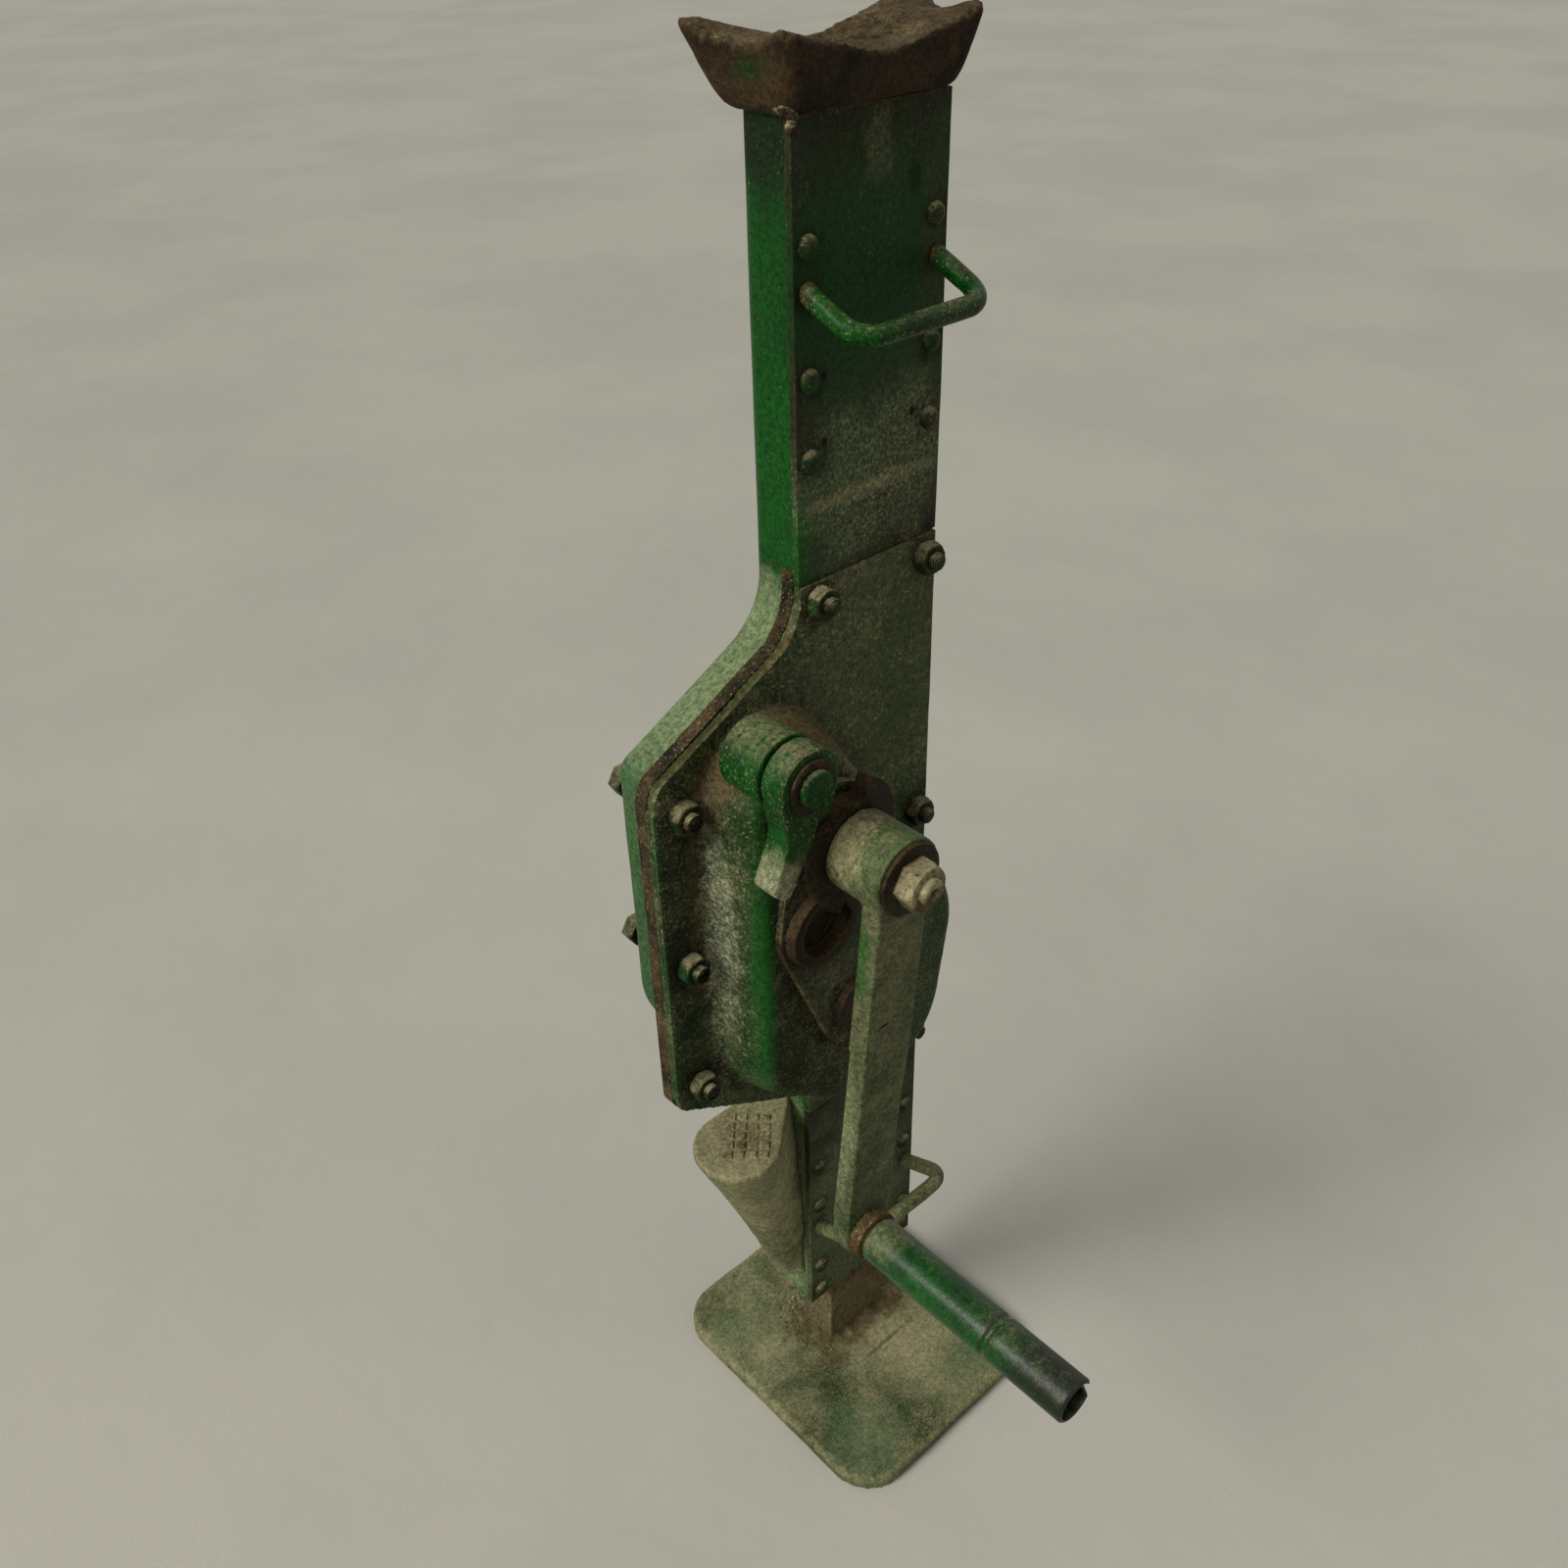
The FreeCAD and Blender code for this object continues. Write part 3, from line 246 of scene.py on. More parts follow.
class Wiring:
    """Adds nodes to one tree and joins them."""

    def __init__(self, tree):
        self.tree = tree

    def feed(self, socket, value):
        if isinstance(value, bpy.types.NodeSocket):
            self.tree.links.new(value, socket)
        else:
            socket.default_value = value

    def add(self, kind, inputs=None, **settings):
        node = self.tree.nodes.new(kind)
        for name, value in settings.items():
            setattr(node, name, value)
        for key, value in (inputs or {}).items():
            self.feed(node.inputs[key], value)
        return node

    def out(self, kind, inputs=None, socket=0, **settings):
        """One output of a new node."""
        return self.add(kind, inputs, **settings).outputs[socket]

    def math(self, operation, first, second, clamp=False):
        return self.out("ShaderNodeMath", {0: first, 1: second}, operation=operation, use_clamp=clamp)

    def plus(self, first, *others):
        for other in others:
            first = self.math("ADD", first, other)
        return first

    def minus(self, first, second):
        return self.math("SUBTRACT", first, second)

    def times(self, first, second):
        return self.math("MULTIPLY", first, second)

    def vector(self, operation, first, second, socket="Vector"):
        return self.out("ShaderNodeVectorMath", {0: first, 1: second}, socket, operation=operation)

    def axes(self, x=0.0, y=0.0, z=0.0):
        return self.out("ShaderNodeCombineXYZ", {0: x, 1: y, 2: z})

    def mix(self, share, first, second, blend="MIX"):
        """Blend of two colours; the node's colours go in at 6 and 7 and come out at 2."""
        return self.out("ShaderNodeMix", {0: share, 6: first, 7: second}, 2, data_type="RGBA",
                        blend_type=blend)

    def between(self, share, first, second):
        """Blend of two numbers; they go in at 2 and 3."""
        return self.out("ShaderNodeMix", {0: share, 2: first, 3: second}, data_type="FLOAT")

    def ramp(self, value, low, high):
        """0 at low to 1 at high, eased; low may be above high."""
        return self.out("ShaderNodeMapRange", {"Value": value, "From Min": low, "From Max": high},
                        interpolation_type="SMOOTHSTEP")

    def noise(self, place, scale, detail=4.0, roughness=0.6):
        return self.out("ShaderNodeTexNoise", {"Vector": place, "Scale": scale, "Detail": detail,
                                               "Roughness": roughness}, "Fac")

    def place(self):
        return self.out("ShaderNodeTexCoord", socket="Object")

    def rise(self):
        """How far the surface is turned up, from -1 to 1."""
        normal = self.out("ShaderNodeTexCoord", socket="Normal")
        return self.out("ShaderNodeSeparateXYZ", {0: normal}, "Z")

    def drawn(self, low, high, seed):
        """A number, or a vector from tuples, drawn afresh for each point; each kind has its own sockets."""
        kind, first, result = ("FLOAT_VECTOR", 0, 0) if isinstance(low, tuple) else ("FLOAT", 2, 1)
        node = self.add("FunctionNodeRandomValue", data_type=kind)
        for socket, value in ((first, low), (first + 1, high), ("Seed", seed)):
            self.feed(node.inputs[socket], value)
        return node.outputs[result]

    def joined(self, *parts):
        node = self.add("GeometryNodeJoinGeometry")
        for part in parts:
            self.tree.links.new(part, node.inputs[0])
        return node.outputs[0]


def new_tree(name, kind, inputs, outputs):
    """A node tree: (its wiring, its inputs and its outputs by name).

    An input is given by its default, or by the kind of its socket where it has none.
    """
    tree = bpy.data.node_groups.new(name, kind)
    for label, value in inputs.items():
        has_default = not isinstance(value, str)
        socket_kind = SOCKET_KINDS[type(value)] if has_default else value
        socket = tree.interface.new_socket(label, in_out="INPUT", socket_type=socket_kind)
        if has_default:
            socket.default_value = value
    for label, socket_kind in outputs.items():
        tree.interface.new_socket(label, in_out="OUTPUT", socket_type=socket_kind)
    wires = Wiring(tree)
    return wires, wires.add("NodeGroupInput").outputs, wires.add("NodeGroupOutput").inputs


def mask_tree(name, inputs, *masks):
    """A shader group that puts out values."""
    return new_tree(name, "ShaderNodeTree", inputs, {mask: FLOAT for mask in masks})


def band_group(name, attribute, scale, swing):
    """Ragged mask within reach of the points whose distance an attribute holds."""
    wires, given, made = mask_tree(name, {"Reach": 4 * MM, "Breakup": 1.0}, "Mask")
    ragged = wires.minus(wires.noise(wires.place(), scale, 5.0), 0.5)
    shift = wires.times(wires.times(ragged, given["Breakup"]), given["Reach"])
    distance = wires.out("ShaderNodeAttribute", socket="Fac", attribute_name=attribute)
    near = wires.plus(distance, wires.times(shift, swing))
    wires.feed(made["Mask"], wires.ramp(near, given["Reach"], 0.0))


def worn_edge_group():
    """Mask of the rubbed band along the sharp edges."""
    band_group("Worn edge", "edge", 220.0, 4.0)


def nook_dirt_and_shade_group():
    """Mask of the band in corners and round the fasteners, for the dirt that stays there and for painted
    shade.
    """
    band_group("Nook dirt", "nook", 120.0, 3.0)


def dust_group():
    """Masks of settled dust: a broken film that favours faces turned up, and loose pale grains."""
    wires, given, made = mask_tree("Settled dust", {"Amount": 0.4, "Scale": 40.0, "Upward": 0.3,
                                                    "Grain Amount": 0.3}, "Film", "Grains")
    place = wires.place()
    upward = wires.times(wires.ramp(wires.rise(), *RISE_RANGE), given["Upward"])
    coarse = wires.noise(place, given["Scale"], 5.0, 0.6)
    middle = wires.noise(place, wires.times(given["Scale"], 5.0), 4.0, 0.65)
    fine = wires.noise(place, POWDER_SCALE, 4.0, 0.8)
    cloud = wires.plus(wires.times(coarse, 0.3), wires.times(middle, 0.25), wires.times(fine, 0.45))
    wires.feed(made["Film"], wires.ramp(wires.plus(cloud, upward, given["Amount"]), *FILM_RANGE))
    speck = wires.noise(place, SPECK_SCALE, 3.0, 0.6)
    weight = wires.plus(speck, wires.times(coarse, 0.25), given["Grain Amount"])
    wires.feed(made["Grains"], wires.ramp(weight, *LOOSE_RANGE))


def patch_group():
    """Mask of one ragged, grainy patch with a middle and a reach along each axis."""
    wires, given, made = mask_tree("Patch", {"Middle": (0.0, 0.0, 0.0), "Reach": (0.05, 0.05, 0.05),
                                             "Breakup": 0.8, "Scale": 60.0, "Grain": 0.6}, "Mask")
    place = wires.place()
    offset = wires.vector("DIVIDE", wires.vector("SUBTRACT", place, given["Middle"]), given["Reach"])
    far = wires.vector("LENGTH", offset, (0.0, 0.0, 0.0), "Value")
    ragged = wires.minus(wires.noise(place, given["Scale"], 6.0, 0.65), 0.5)
    whole = wires.ramp(wires.plus(far, wires.times(ragged, given["Breakup"])), *PATCH_RANGE)
    speckle = wires.ramp(wires.noise(place, FLECK_SCALE, 6.0, 0.85), *FLECK_RANGE)
    missing = wires.times(wires.minus(1.0, speckle), given["Grain"])
    wires.feed(made["Mask"], wires.times(whole, wires.minus(1.0, missing)))


def surface_group():
    """Height of orange peel and pits for a bump."""
    wires, given, made = mask_tree("Uneven surface", {"Scale": 300.0, "Pits": 0.5}, "Height")
    place = wires.place()
    peel = wires.noise(place, given["Scale"], 4.0, 0.6)
    pit = wires.ramp(wires.noise(place, wires.times(given["Scale"], 2.3), 2.0), *PIT_RANGE)
    wires.feed(made["Height"], wires.minus(peel, wires.times(pit, given["Pits"])))


def streak_group():
    """Mask of thin runs and scratches that follow the Z axis."""
    wires, given, made = mask_tree("Streaks", {"Scale": 160.0, "Stretch": 0.06, "Amount": 0.3}, "Mask")
    place = wires.vector("MULTIPLY", wires.place(), wires.axes(1.0, 1.0, given["Stretch"]))
    line = wires.noise(place, given["Scale"], 3.0, 0.6)
    wires.feed(made["Mask"], wires.ramp(wires.plus(line, given["Amount"]), *STREAK_RANGE))


class Paint(Wiring):
    """One finish, built up layer by layer as a painter would.

    A colour is named as in its palette, a place and a reach are in millimetres, a scale is per metre.
    """

    def __init__(self, name, rough, shine=PAINT_SHINE, palette=None):
        self.palette = bpy.context.scene.jack_finish if palette is None else palette
        self.material = bpy.data.materials.new(name)
        self.material.use_nodes = True
        super().__init__(self.material.node_tree)
        self.shader = self.tree.nodes["Principled BSDF"]
        self.shader.inputs["Specular IOR Level"].default_value = shine
        self.where = self.place()
        self.colour = None
        self.rough = rough

    def tone(self, name):
        return (*getattr(self.palette, name), 1.0)

    def group(self, name, **inputs):
        node = self.add("ShaderNodeGroup", node_tree=bpy.data.node_groups[name])
        for label, value in inputs.items():
            self.feed(node.inputs[label.replace("_", " ").title()], value)
        return node.outputs

    def base(self, light, dark, scale, mottle=0.35):
        cloud = self.ramp(self.noise(self.where, scale, 5.0, 0.6), *CLOUD_RANGE)
        plain = self.mix(cloud, self.tone(dark), self.tone(light))
        speckle = self.ramp(self.noise(self.where, FLECK_SCALE, 4.0, 0.75), *MOTTLE_RANGE)
        self.colour = self.mix(self.times(speckle, mottle), plain, BLACK)
        return self

    def layer(self, mask, colour, strength, rough=None):
        share = self.math("MULTIPLY", mask, strength, clamp=True)
        self.colour = self.mix(share, self.colour, self.tone(colour))
        if rough is not None:
            self.rough = self.between(share, self.rough, rough)
        return self

    def patch(self, colour, strength, middle, reach, breakup=0.8, scale=60, grain=0.7, rough=DIRT_ROUGH):
        """A patch whose edge is broken up at a scale, and that has gaps by its grain."""
        mask = self.group("Patch", middle=Vector(middle) * MM, reach=Vector(reach) * MM, breakup=breakup,
                          scale=scale, grain=grain)["Mask"]
        return self.layer(mask, colour, strength, rough)

    def topped(self, colour, strength, low=0.2, high=0.8):
        """Covers what is turned up, with gaps."""
        rise = self.ramp(self.rise(), low, high)
        gaps = self.ramp(self.noise(self.where, GAP_SCALE, 6.0, 0.75), *GAP_RANGE)
        return self.layer(self.times(rise, gaps), colour, strength, SOIL_ROUGH)

    def worn(self, colour, reach, strength, breakup=1.0, rough=0.75):
        mask = self.group("Worn edge", reach=reach * MM, breakup=breakup)["Mask"]
        return self.layer(mask, colour, strength, rough)

    # A band in corners and beside neighbouring parts: dirt, and painted shade where the colour is dark.
    def nooks(self, colour, reach, strength, breakup=0.8, rough=DIRT_ROUGH):
        mask = self.group("Nook dirt", reach=reach * MM, breakup=breakup)["Mask"]
        return self.layer(mask, colour, strength, rough)

    def dusted(self, colour, amount, upward, scale, strength, grains=0.25, grain_strength=0.5):
        masks = self.group("Settled dust", amount=amount, upward=upward, scale=scale, grain_amount=grains)
        self.layer(masks["Film"], colour, strength, DUST_ROUGH)
        return self.layer(masks["Grains"], colour, grain_strength, DUST_ROUGH)

    def streaked(self, colour, amount, strength, stretch, scale):
        mask = self.group("Streaks", amount=amount, stretch=stretch, scale=scale)["Mask"]
        return self.layer(mask, colour, strength, DIRT_ROUGH)

    def blotched(self, colour, scale, threshold, strength, rough=None):
        cloud = self.noise(self.where, scale, 6.0, 0.65)
        mask = self.ramp(cloud, threshold, threshold + BLOTCH_SOFTNESS)
        return self.layer(mask, colour, strength, rough)

    def done(self, scale, depth, pits=0.5, grain=0.65):
        """Lays fine grain over everything, adds the relief and gives the material."""
        if grain:
            fine = self.ramp(self.noise(self.where, GRAIN_SCALE, 6.0, 0.85), *GRAIN_RANGE)
            self.colour = self.mix(grain, self.colour, fine, "OVERLAY")
        height = self.group("Uneven surface", scale=scale, pits=pits)["Height"]
        bump = {"Strength": 1.0, "Distance": depth * MM, "Height": height}
        relief = self.out("ShaderNodeBump", bump, "Normal")
        for socket, value in (("Base Color", self.colour), ("Roughness", self.rough), ("Normal", relief)):
            self.feed(self.shader.inputs[socket], value)
        return self.material


def shell_paint():
    paint = Paint("shell_green", 0.4).base("bright_green", "deep_green", 10, 0.25)
    # Painted shade: a dark band at the top of the column, just under the head.
    paint.patch("grime_and_shade", 0.92, (-38, 10, 693), (30, 44, 32), grain=0.2)
    paint.worn("aged_brown", 0.9, 0.7)
    paint.dusted("chalk", 0.22, 0.34, 30, 0.7, 0.19)
    paint.patch("chalk", 0.7, (-42, 12, 514), (9, 30, 16), 1.2, 90, 0.4)
    paint.patch("faded_green", 0.7, (-120, 12, 390), (14, 40, 90), 1.4, 70, 0.4)
    paint.patch("faded_green", 0.7, (-112, 12, 452), (20, 40, 26), 1.2, 60, 0.2)
    # Pale dust on the column's side beside the claw, made paler to offset the shade that claw and cover
    # cast: dust and painted light.
    paint.patch("chalk", 0.85, (-42, 12, 150), (14, 30, 120), 1.2, 50, 0.3)
    return paint.done(260, 0.15)


def plate_paint():
    paint = Paint("weathered_plate", 0.5).base("aged_green", "aged_brown", 14)
    paint.patch("deep_green", 0.85, (-4, -5, 640), (60, 20, 50), 0.8, 40, 0.1, 0.45)
    paint.patch("aged_brown", 0.9, (0, -5, 696), (60, 20, 26), 1.0, grain=0.2)
    # Dark dirt round the rivets, handles and gear cover, with painted shade in the same band.
    paint.nooks("grime_and_shade", 6, 0.75)
    paint.worn("rust", 0.9, 0.5)
    paint.patch("bright_green", 0.9, (-37, -5, 538), (6, 20, 24), 1.0, 90, 0.2, 0.45)
    paint.patch("chalk", 0.7, (4, -5, 558), (52, 20, 48), 1.6, 45, 0.9)
    paint.patch("dust", 0.6, (0, -5, 555), (48, 20, 5), 1.2, 140, 0.6)
    paint.patch("dust", 0.35, (2, -5, 679), (9, 20, 16), 1.6, 90, 0.8)
    paint.patch("grime_and_shade", 0.9, (21, -5, 666), (5, 20, 8), 1.0, 160, 0.1)
    paint.patch("soil", 0.7, (31, -5, 640), (8, 20, 34), 1.6, 120)
    paint.streaked("dust", 0.2, 0.3, 0.08, 220)
    paint.dusted("dust", 0.28, 0.2, 45, 0.42, 0.18, 0.42)
    paint.patch("deep_green", 0.5, (-4, -5, 638), (60, 20, 60), 0.8, 40, 0.3, 0.45)
    paint.patch("chalk", 0.5, (-6, -5, 130), (60, 20, 100), 1.2, 60, 0.6)
    # Small dark spots beside three rivets.
    for spot in ((-25, -5, 605), (-25, -5, 580), (23, -5, 579)):
        paint.patch("grime_and_shade", 1.0, spot, (2, 10, 2.6), 0.5, 300, 0.0)
    return paint.done(240, 0.25)


def cover_paint():
    paint = Paint("weathered_cover", 0.5).base("aged_green", "deep_green", 16)
    # Painted shadow: a dark band on the flat of the cover left of the pan.
    paint.patch("grime_and_shade", 0.6, (-108, -6, 400), (24, 10, 90), 1.0, grain=0.3)
    paint.patch("aged_brown", 0.8, (-58, -33, 322), (46, 6, 92), grain=0.3)
    # Dark dirt round the nuts, the bearing plate and the pawl boss, with painted shade in the same band.
    paint.nooks("grime_and_shade", 8, 0.85)
    paint.worn("bright_green", 1.6, 0.8, 0.8, 0.5)
    paint.topped("soil", 0.9)
    paint.streaked("dust", 0.2, 0.25, 0.08, 200)
    paint.dusted("dust", 0.37, 0.1, 30, 0.5, 0.26, 0.55)
    paint.patch("dust", 0.22, (4, -6, 470), (60, 12, 100), 0.8, 30, 0.6)
    # Painted shadow: a narrow dark strip on the flat left of the pan.
    paint.patch("grime_and_shade", 0.5, (-108, -6, 330), (13, 4, 130), 1.0, 60, 0.4)
    paint.topped("soil", 0.8, 0.4, 0.75)
    paint.patch("deep_green", 0.75, (-80, -3.2, 470), (70, 2.6, 66), 0.3, 90, 0.2)
    # Painted highlight: a strip of bright, glossier green along the pan's left ridge.
    paint.patch("bright_green", 0.95, (-87, -27, 372), (6, 14, 130), 0.4, 60, 0.1, 0.42)
    paint.patch("soil", 0.6, (-102, -8, 385), (6, 8, 80), 1.2, 90, 0.6)
    paint.patch("soil", 0.9, (-92, -10, 452), (12, 12, 24), 1.2, 90, 0.5)
    paint.patch("chalk", 0.55, (-96, -13, 372), (7, 12, 84), 1.4, 90, 0.75)
    paint.patch("lime", 0.75, (-96, -13, 380), (7, 12, 66), 2.4, 180, 0.95)
    return paint.done(260, 0.2)


def frame_paint():
    paint = Paint("rusty_strip", 0.75).base("soil", "aged_brown", 60)
    paint.blotched("deep_green", 90, 0.6, 0.7)
    paint.dusted("dust", 0.2, 0.1, 70, 0.5)
    return paint.done(420, 0.3)


def bearing_paint():
    paint = Paint("bearing_plate_paint", 0.55).base("aged_green", "aged_brown", 26)
    # Dark dirt round the bushes and in the inner corners, with painted shade in the same band.
    paint.nooks("grime_and_shade", 7, 0.8)
    paint.worn("rust", 1.6, 0.5)
    paint.topped("dust", 0.55)
    paint.dusted("dust", 0.4, 0.1, 40, 0.45)
    return paint.done(300, 0.25)


def casting_paint():
    paint = Paint("rusty_casting", 0.75).base("iron", "grime_and_shade", 34, 0.5)
    paint.blotched("rust", 60, 0.56, 0.4)
    paint.patch("soil", 0.5, (-52, 10, 702), (20, 40, 20), 1.2, 80, 0.5)
    paint.patch("deep_green", 0.8, (-50, 5, 708), (7, 10, 7), 1.2, 120, 0.3)
    paint.worn("soil", 2, 0.5)
    paint.topped("soil", 0.6, 0.3, 0.9)
    paint.dusted("dust", 0.28, 0.1, 40, 0.45, 0.14, 0.4)
    return paint.done(380, 0.4, 0.9)


def claw_paint():
    paint = Paint("dusty_claw", 0.65).base("faded_green", "aged_green", 20, 0.25)
    # Painted shade: deep green at the claw's root against the housing and along its inner corners.
    paint.nooks("deep_green", 7, 0.7)
    paint.dusted("dust", 0.47, 0.08, 22, 0.82, 0.2, 0.4)
    paint.worn("dust", 1.8, 0.4)
    paint.patch("bright_green", 0.45, (-48, -12, 175), (11, 9, 80), 1.0, 60, 0.5)
    paint.patch("soil", 0.45, (-72, 5, 229), (18, 20, 5), 0.8, 90, 0.3)
    return paint.done(260, 0.28, grain=0.5)


def chequer_paint():
    paint = Paint("dusty_chequer", 0.8).base("dust", "soil", 60)
    return paint.dusted("dust", 0.4, 0.0, 60, 0.6).done(420, 0.3)


def foot_paint():
    paint = Paint("dusty_foot", 0.75).base("faded_green", "aged_green", 18, 0.25)
    paint.dusted("dust", 0.44, 0.0, 16, 0.85, 0.2, 0.4)
    paint.patch("dust", 0.7, (22, -14, 9), (44, 50, 20), 1.4, 40, 0.4)
    for middle, reach in (((-57, 52, 9), (16, 20, 10)), ((-50, -58, 9), (30, 28, 10)),
                          ((34, -66, 9), (26, 16, 10))):
        paint.patch("faded_green", 0.7, middle, reach, 1.4, 60, 0.5)
    paint.worn("dust", 2.6, 0.35)
    paint.nooks("soil", 20, 0.75, 1.2)
    paint.patch("grime_and_shade", 0.7, (4, -21, 9), (24, 1.6, 6), 1.4, 160, 0.5)
    return paint.done(240, 0.3, grain=0.45)


def rack_paint():
    paint = Paint("rusty_rack", 0.65).base("rust", "iron", 40)
    paint.blotched("grime_and_shade", 50, 0.52, 0.7)
    paint.worn("soil", 1.2, 0.5)
    paint.dusted("soil", 0.42, 0.2, 40, 0.6)
    paint.patch("dust", 0.55, (2, 11, 24), (60, 40, 52), 1.2, 60, 0.6)
    return paint.done(340, 0.4)


def crumb_paint():
    return Paint("dry_soil", 0.9).base("dust", "soil", 70).done(500, 0.3)


def handle_paint():
    paint = Paint("rubbed_handle", 0.36).base("bright_green", "deep_green", 40)
    paint.blotched("rust", 85, 0.6, 0.6, 0.6)
    paint.nooks("rust", 6, 0.9)
    paint.patch("aged_brown", 0.75, (10, -34, 625), (34, 9, 9), 1.4, 100, 0.4, 0.5)
    paint.patch("dust", 0.7, (0, -20, 140), (70, 50, 36), 1.8, 90, 0.5)
    paint.dusted("dust", 0.22, 0.16, 70, 0.5)
    return paint.done(300, 0.2)


def crank_paint():
    paint = Paint("worn_crank", 0.5).base("aged_green", "deep_green", 14)
    paint.worn("bright_green", 2, 0.6, 0.8, 0.45)
    # Dark dirt round the washer and in the arm's inner corners, with painted shade in the same band.
    paint.nooks("grime_and_shade", 4, 0.8)
    paint.dusted("dust", 0.46, 0.12, 18, 0.45, 0.16, 0.45)
    paint.patch("chalk", 0.85, (-80, -71, 290), (8, 9, 70), 1.2, 80, 0.8)
    paint.patch("bright_green", 0.8, (-72, -71, 392), (8, 9, 26), 1.0, 80, 0.3, 0.45)
    paint.patch("dust", 0.95, (-64, -62, 440), (22, 14, 24), 1.6, 90, 0.3)
    paint.patch("bright_green", 0.75, (-54, -70, 436), (20, 10, 22), 2.6, 130, 0.5, 0.5)
    paint.patch("deep_green", 0.5, (-53, -66, 430), (24, 16, 24), 3.0, 230, 0.2, 0.5)
    paint.patch("bright_green", 0.6, (-53, -78, 434), (26, 4, 26), 1.2, 80, 0.4, 0.45)
    paint.patch("grime_and_shade", 1.0, (-65, -80, 358), (3.4, 4, 1.1), 0.5, 300, 0.0)
    return paint.done(280, 0.25)


def grip_paint():
    paint = Paint("hand_worn_grip", 0.32, GRIP_SHINE).base("bright_green", "deep_green", 24)
    paint.patch("grime_and_shade", 0.8, (-74, -192, 236), (24, 32, 24), 1.2, 70, 0.2, 0.42)
    paint.worn("aged_brown", 1.2, 0.6, 1.2, 0.4)
    paint.patch("dust", 0.55, (-76, -90, 244), (18, 16, 12), 2.0, 110)
    paint.dusted("dust", 0.24, 0.12, 40, 0.5, 0.16, 0.4)
    return paint.done(300, 0.2)


def pin_paint():
    paint = Paint("grip_collar", 0.5).base("bright_green", "deep_green", 40)
    # A dark rust-brown band over the collar: rust, and the painted shadow line of the gap at the arm.
    paint.patch("rust", 0.9, (-74, -81, 236), (60, 12, 60), 0.5, 120, 0.1)
    paint.dusted("dust", 0.28, 0.12, 60, 0.6)
    return paint.done(300, 0.2)


def pawl_paint():
    paint = Paint("worn_pawl", 0.42).base("bright_green", "deep_green", 40)
    paint.worn("deep_green", 1.2, 0.5)
    paint.patch("aged_brown", 0.6, (-84, -54, 456), (30, 4, 44), 1.2, 80, 0.4)
    tip = ((-96, -50, 432), (12, 14, 18))
    paint.patch("dust", 0.7, *tip, 1.4, 90, 0.4)
    paint.patch("lime", 0.6, *tip, 2.4, 160, 0.9)
    paint.topped("dust", 0.35, 0.4, 1.0)
    paint.dusted("dust", 0.29, 0.08, 50, 0.5)
    return paint.done(300, 0.2)


def fastener_paint():
    paint = Paint("painted_fastener", 0.5).base("deep_green", "aged_brown", 70)
    paint.blotched("soil", 120, 0.52, 0.4)
    paint.topped("dust", 0.6, 0.3, 0.9)
    paint.dusted("dust", 0.31, 0.12, 80, 0.6, 0.2, 0.4)
    return paint.done(420, 0.2)


def nut_paint():
    paint = Paint("dusty_nut", 0.5).base("dust", "soil", 80)
    paint.blotched("aged_brown", 110, 0.54, 0.7)
    # Darkens the nut's right side.
    paint.patch("aged_brown", 0.85, (-44, -88, 427), (10, 9, 10), 1.6, 160, 0.3)
    paint.dusted("dust", 0.38, 0.2, 80, 0.7)
    return paint.done(420, 0.2)


def iron_paint():
    paint = Paint("oily_iron", 0.5).base("aged_brown", "grime_and_shade", 50)
    paint.blotched("rust", 90, 0.58, 0.6)
    paint.dusted("soil", 0.38, 0.2, 70, 0.6)
    return paint.done(380, 0.3)


def weld_paint():
    paint = Paint("weld_seam", 0.6).base("soil", "aged_brown", 120)
    return paint.dusted("dust", 0.3, 0.3, 90, 0.7).done(500, 0.3)


def steel_paint():
    paint = Paint("oiled_steel", 0.35).base("steel", "iron", 60)
    paint.shader.inputs["Metallic"].default_value = 1.0
    return paint.done(300, 0.05)


def sizes():
    return bpy.context.scene.jack_sizes


def put(name, data):
    """A new object in the scene."""
    item = bpy.data.objects.new(name, data)
    bpy.context.scene.collection.objects.link(item)
    return item


def plain_mesh(holder):
    """Mesh of an object with its modifiers worked in."""
    return bpy.data.meshes.new_from_object(holder.evaluated_get(bpy.context.evaluated_depsgraph_get()))


def finished_mesh(name, work):
    """Mesh from a working copy, which is given up."""
    mesh = bpy.data.meshes.new(name)
    work.to_mesh(mesh)
    work.free()
    return mesh


def blank(node):
    """Joined working copy of a frame node's mesh."""
    work = bmesh.new()
    work.from_mesh(frame["nodes"][node].data)
    bmesh.ops.remove_doubles(work, verts=work.verts[:], dist=MERGE_GAP)
    work.normal_update()
    return work


def along_edges(edges):
    points = []
    for edge in edges:
        start, end = (vertex.co for vertex in edge.verts)
        count = max(1, int((end - start).length / SAMPLE_STEP))
        points += [start.lerp(end, i / count) for i in range(count + 1)]
    return points


def sharp_edges(work, convex):
    return [edge for edge in work.edges
            if edge.calc_face_angle(0.0) > SHARP_ANGLE and edge.is_convex == convex]


def marked(node, neighbours):
    """Working copy of a node, with points along what gets rubbed and along what collects dirt and painted
    shade.
    """
    work = blank(node)
    marks = {"edge": along_edges(sharp_edges(work, True)), "nook": along_edges(sharp_edges(work, False))}
    for neighbour in neighbours:
        other = blank(neighbour)
        marks["nook"] += along_edges(other.edges)
        other.free()
    return work, marks


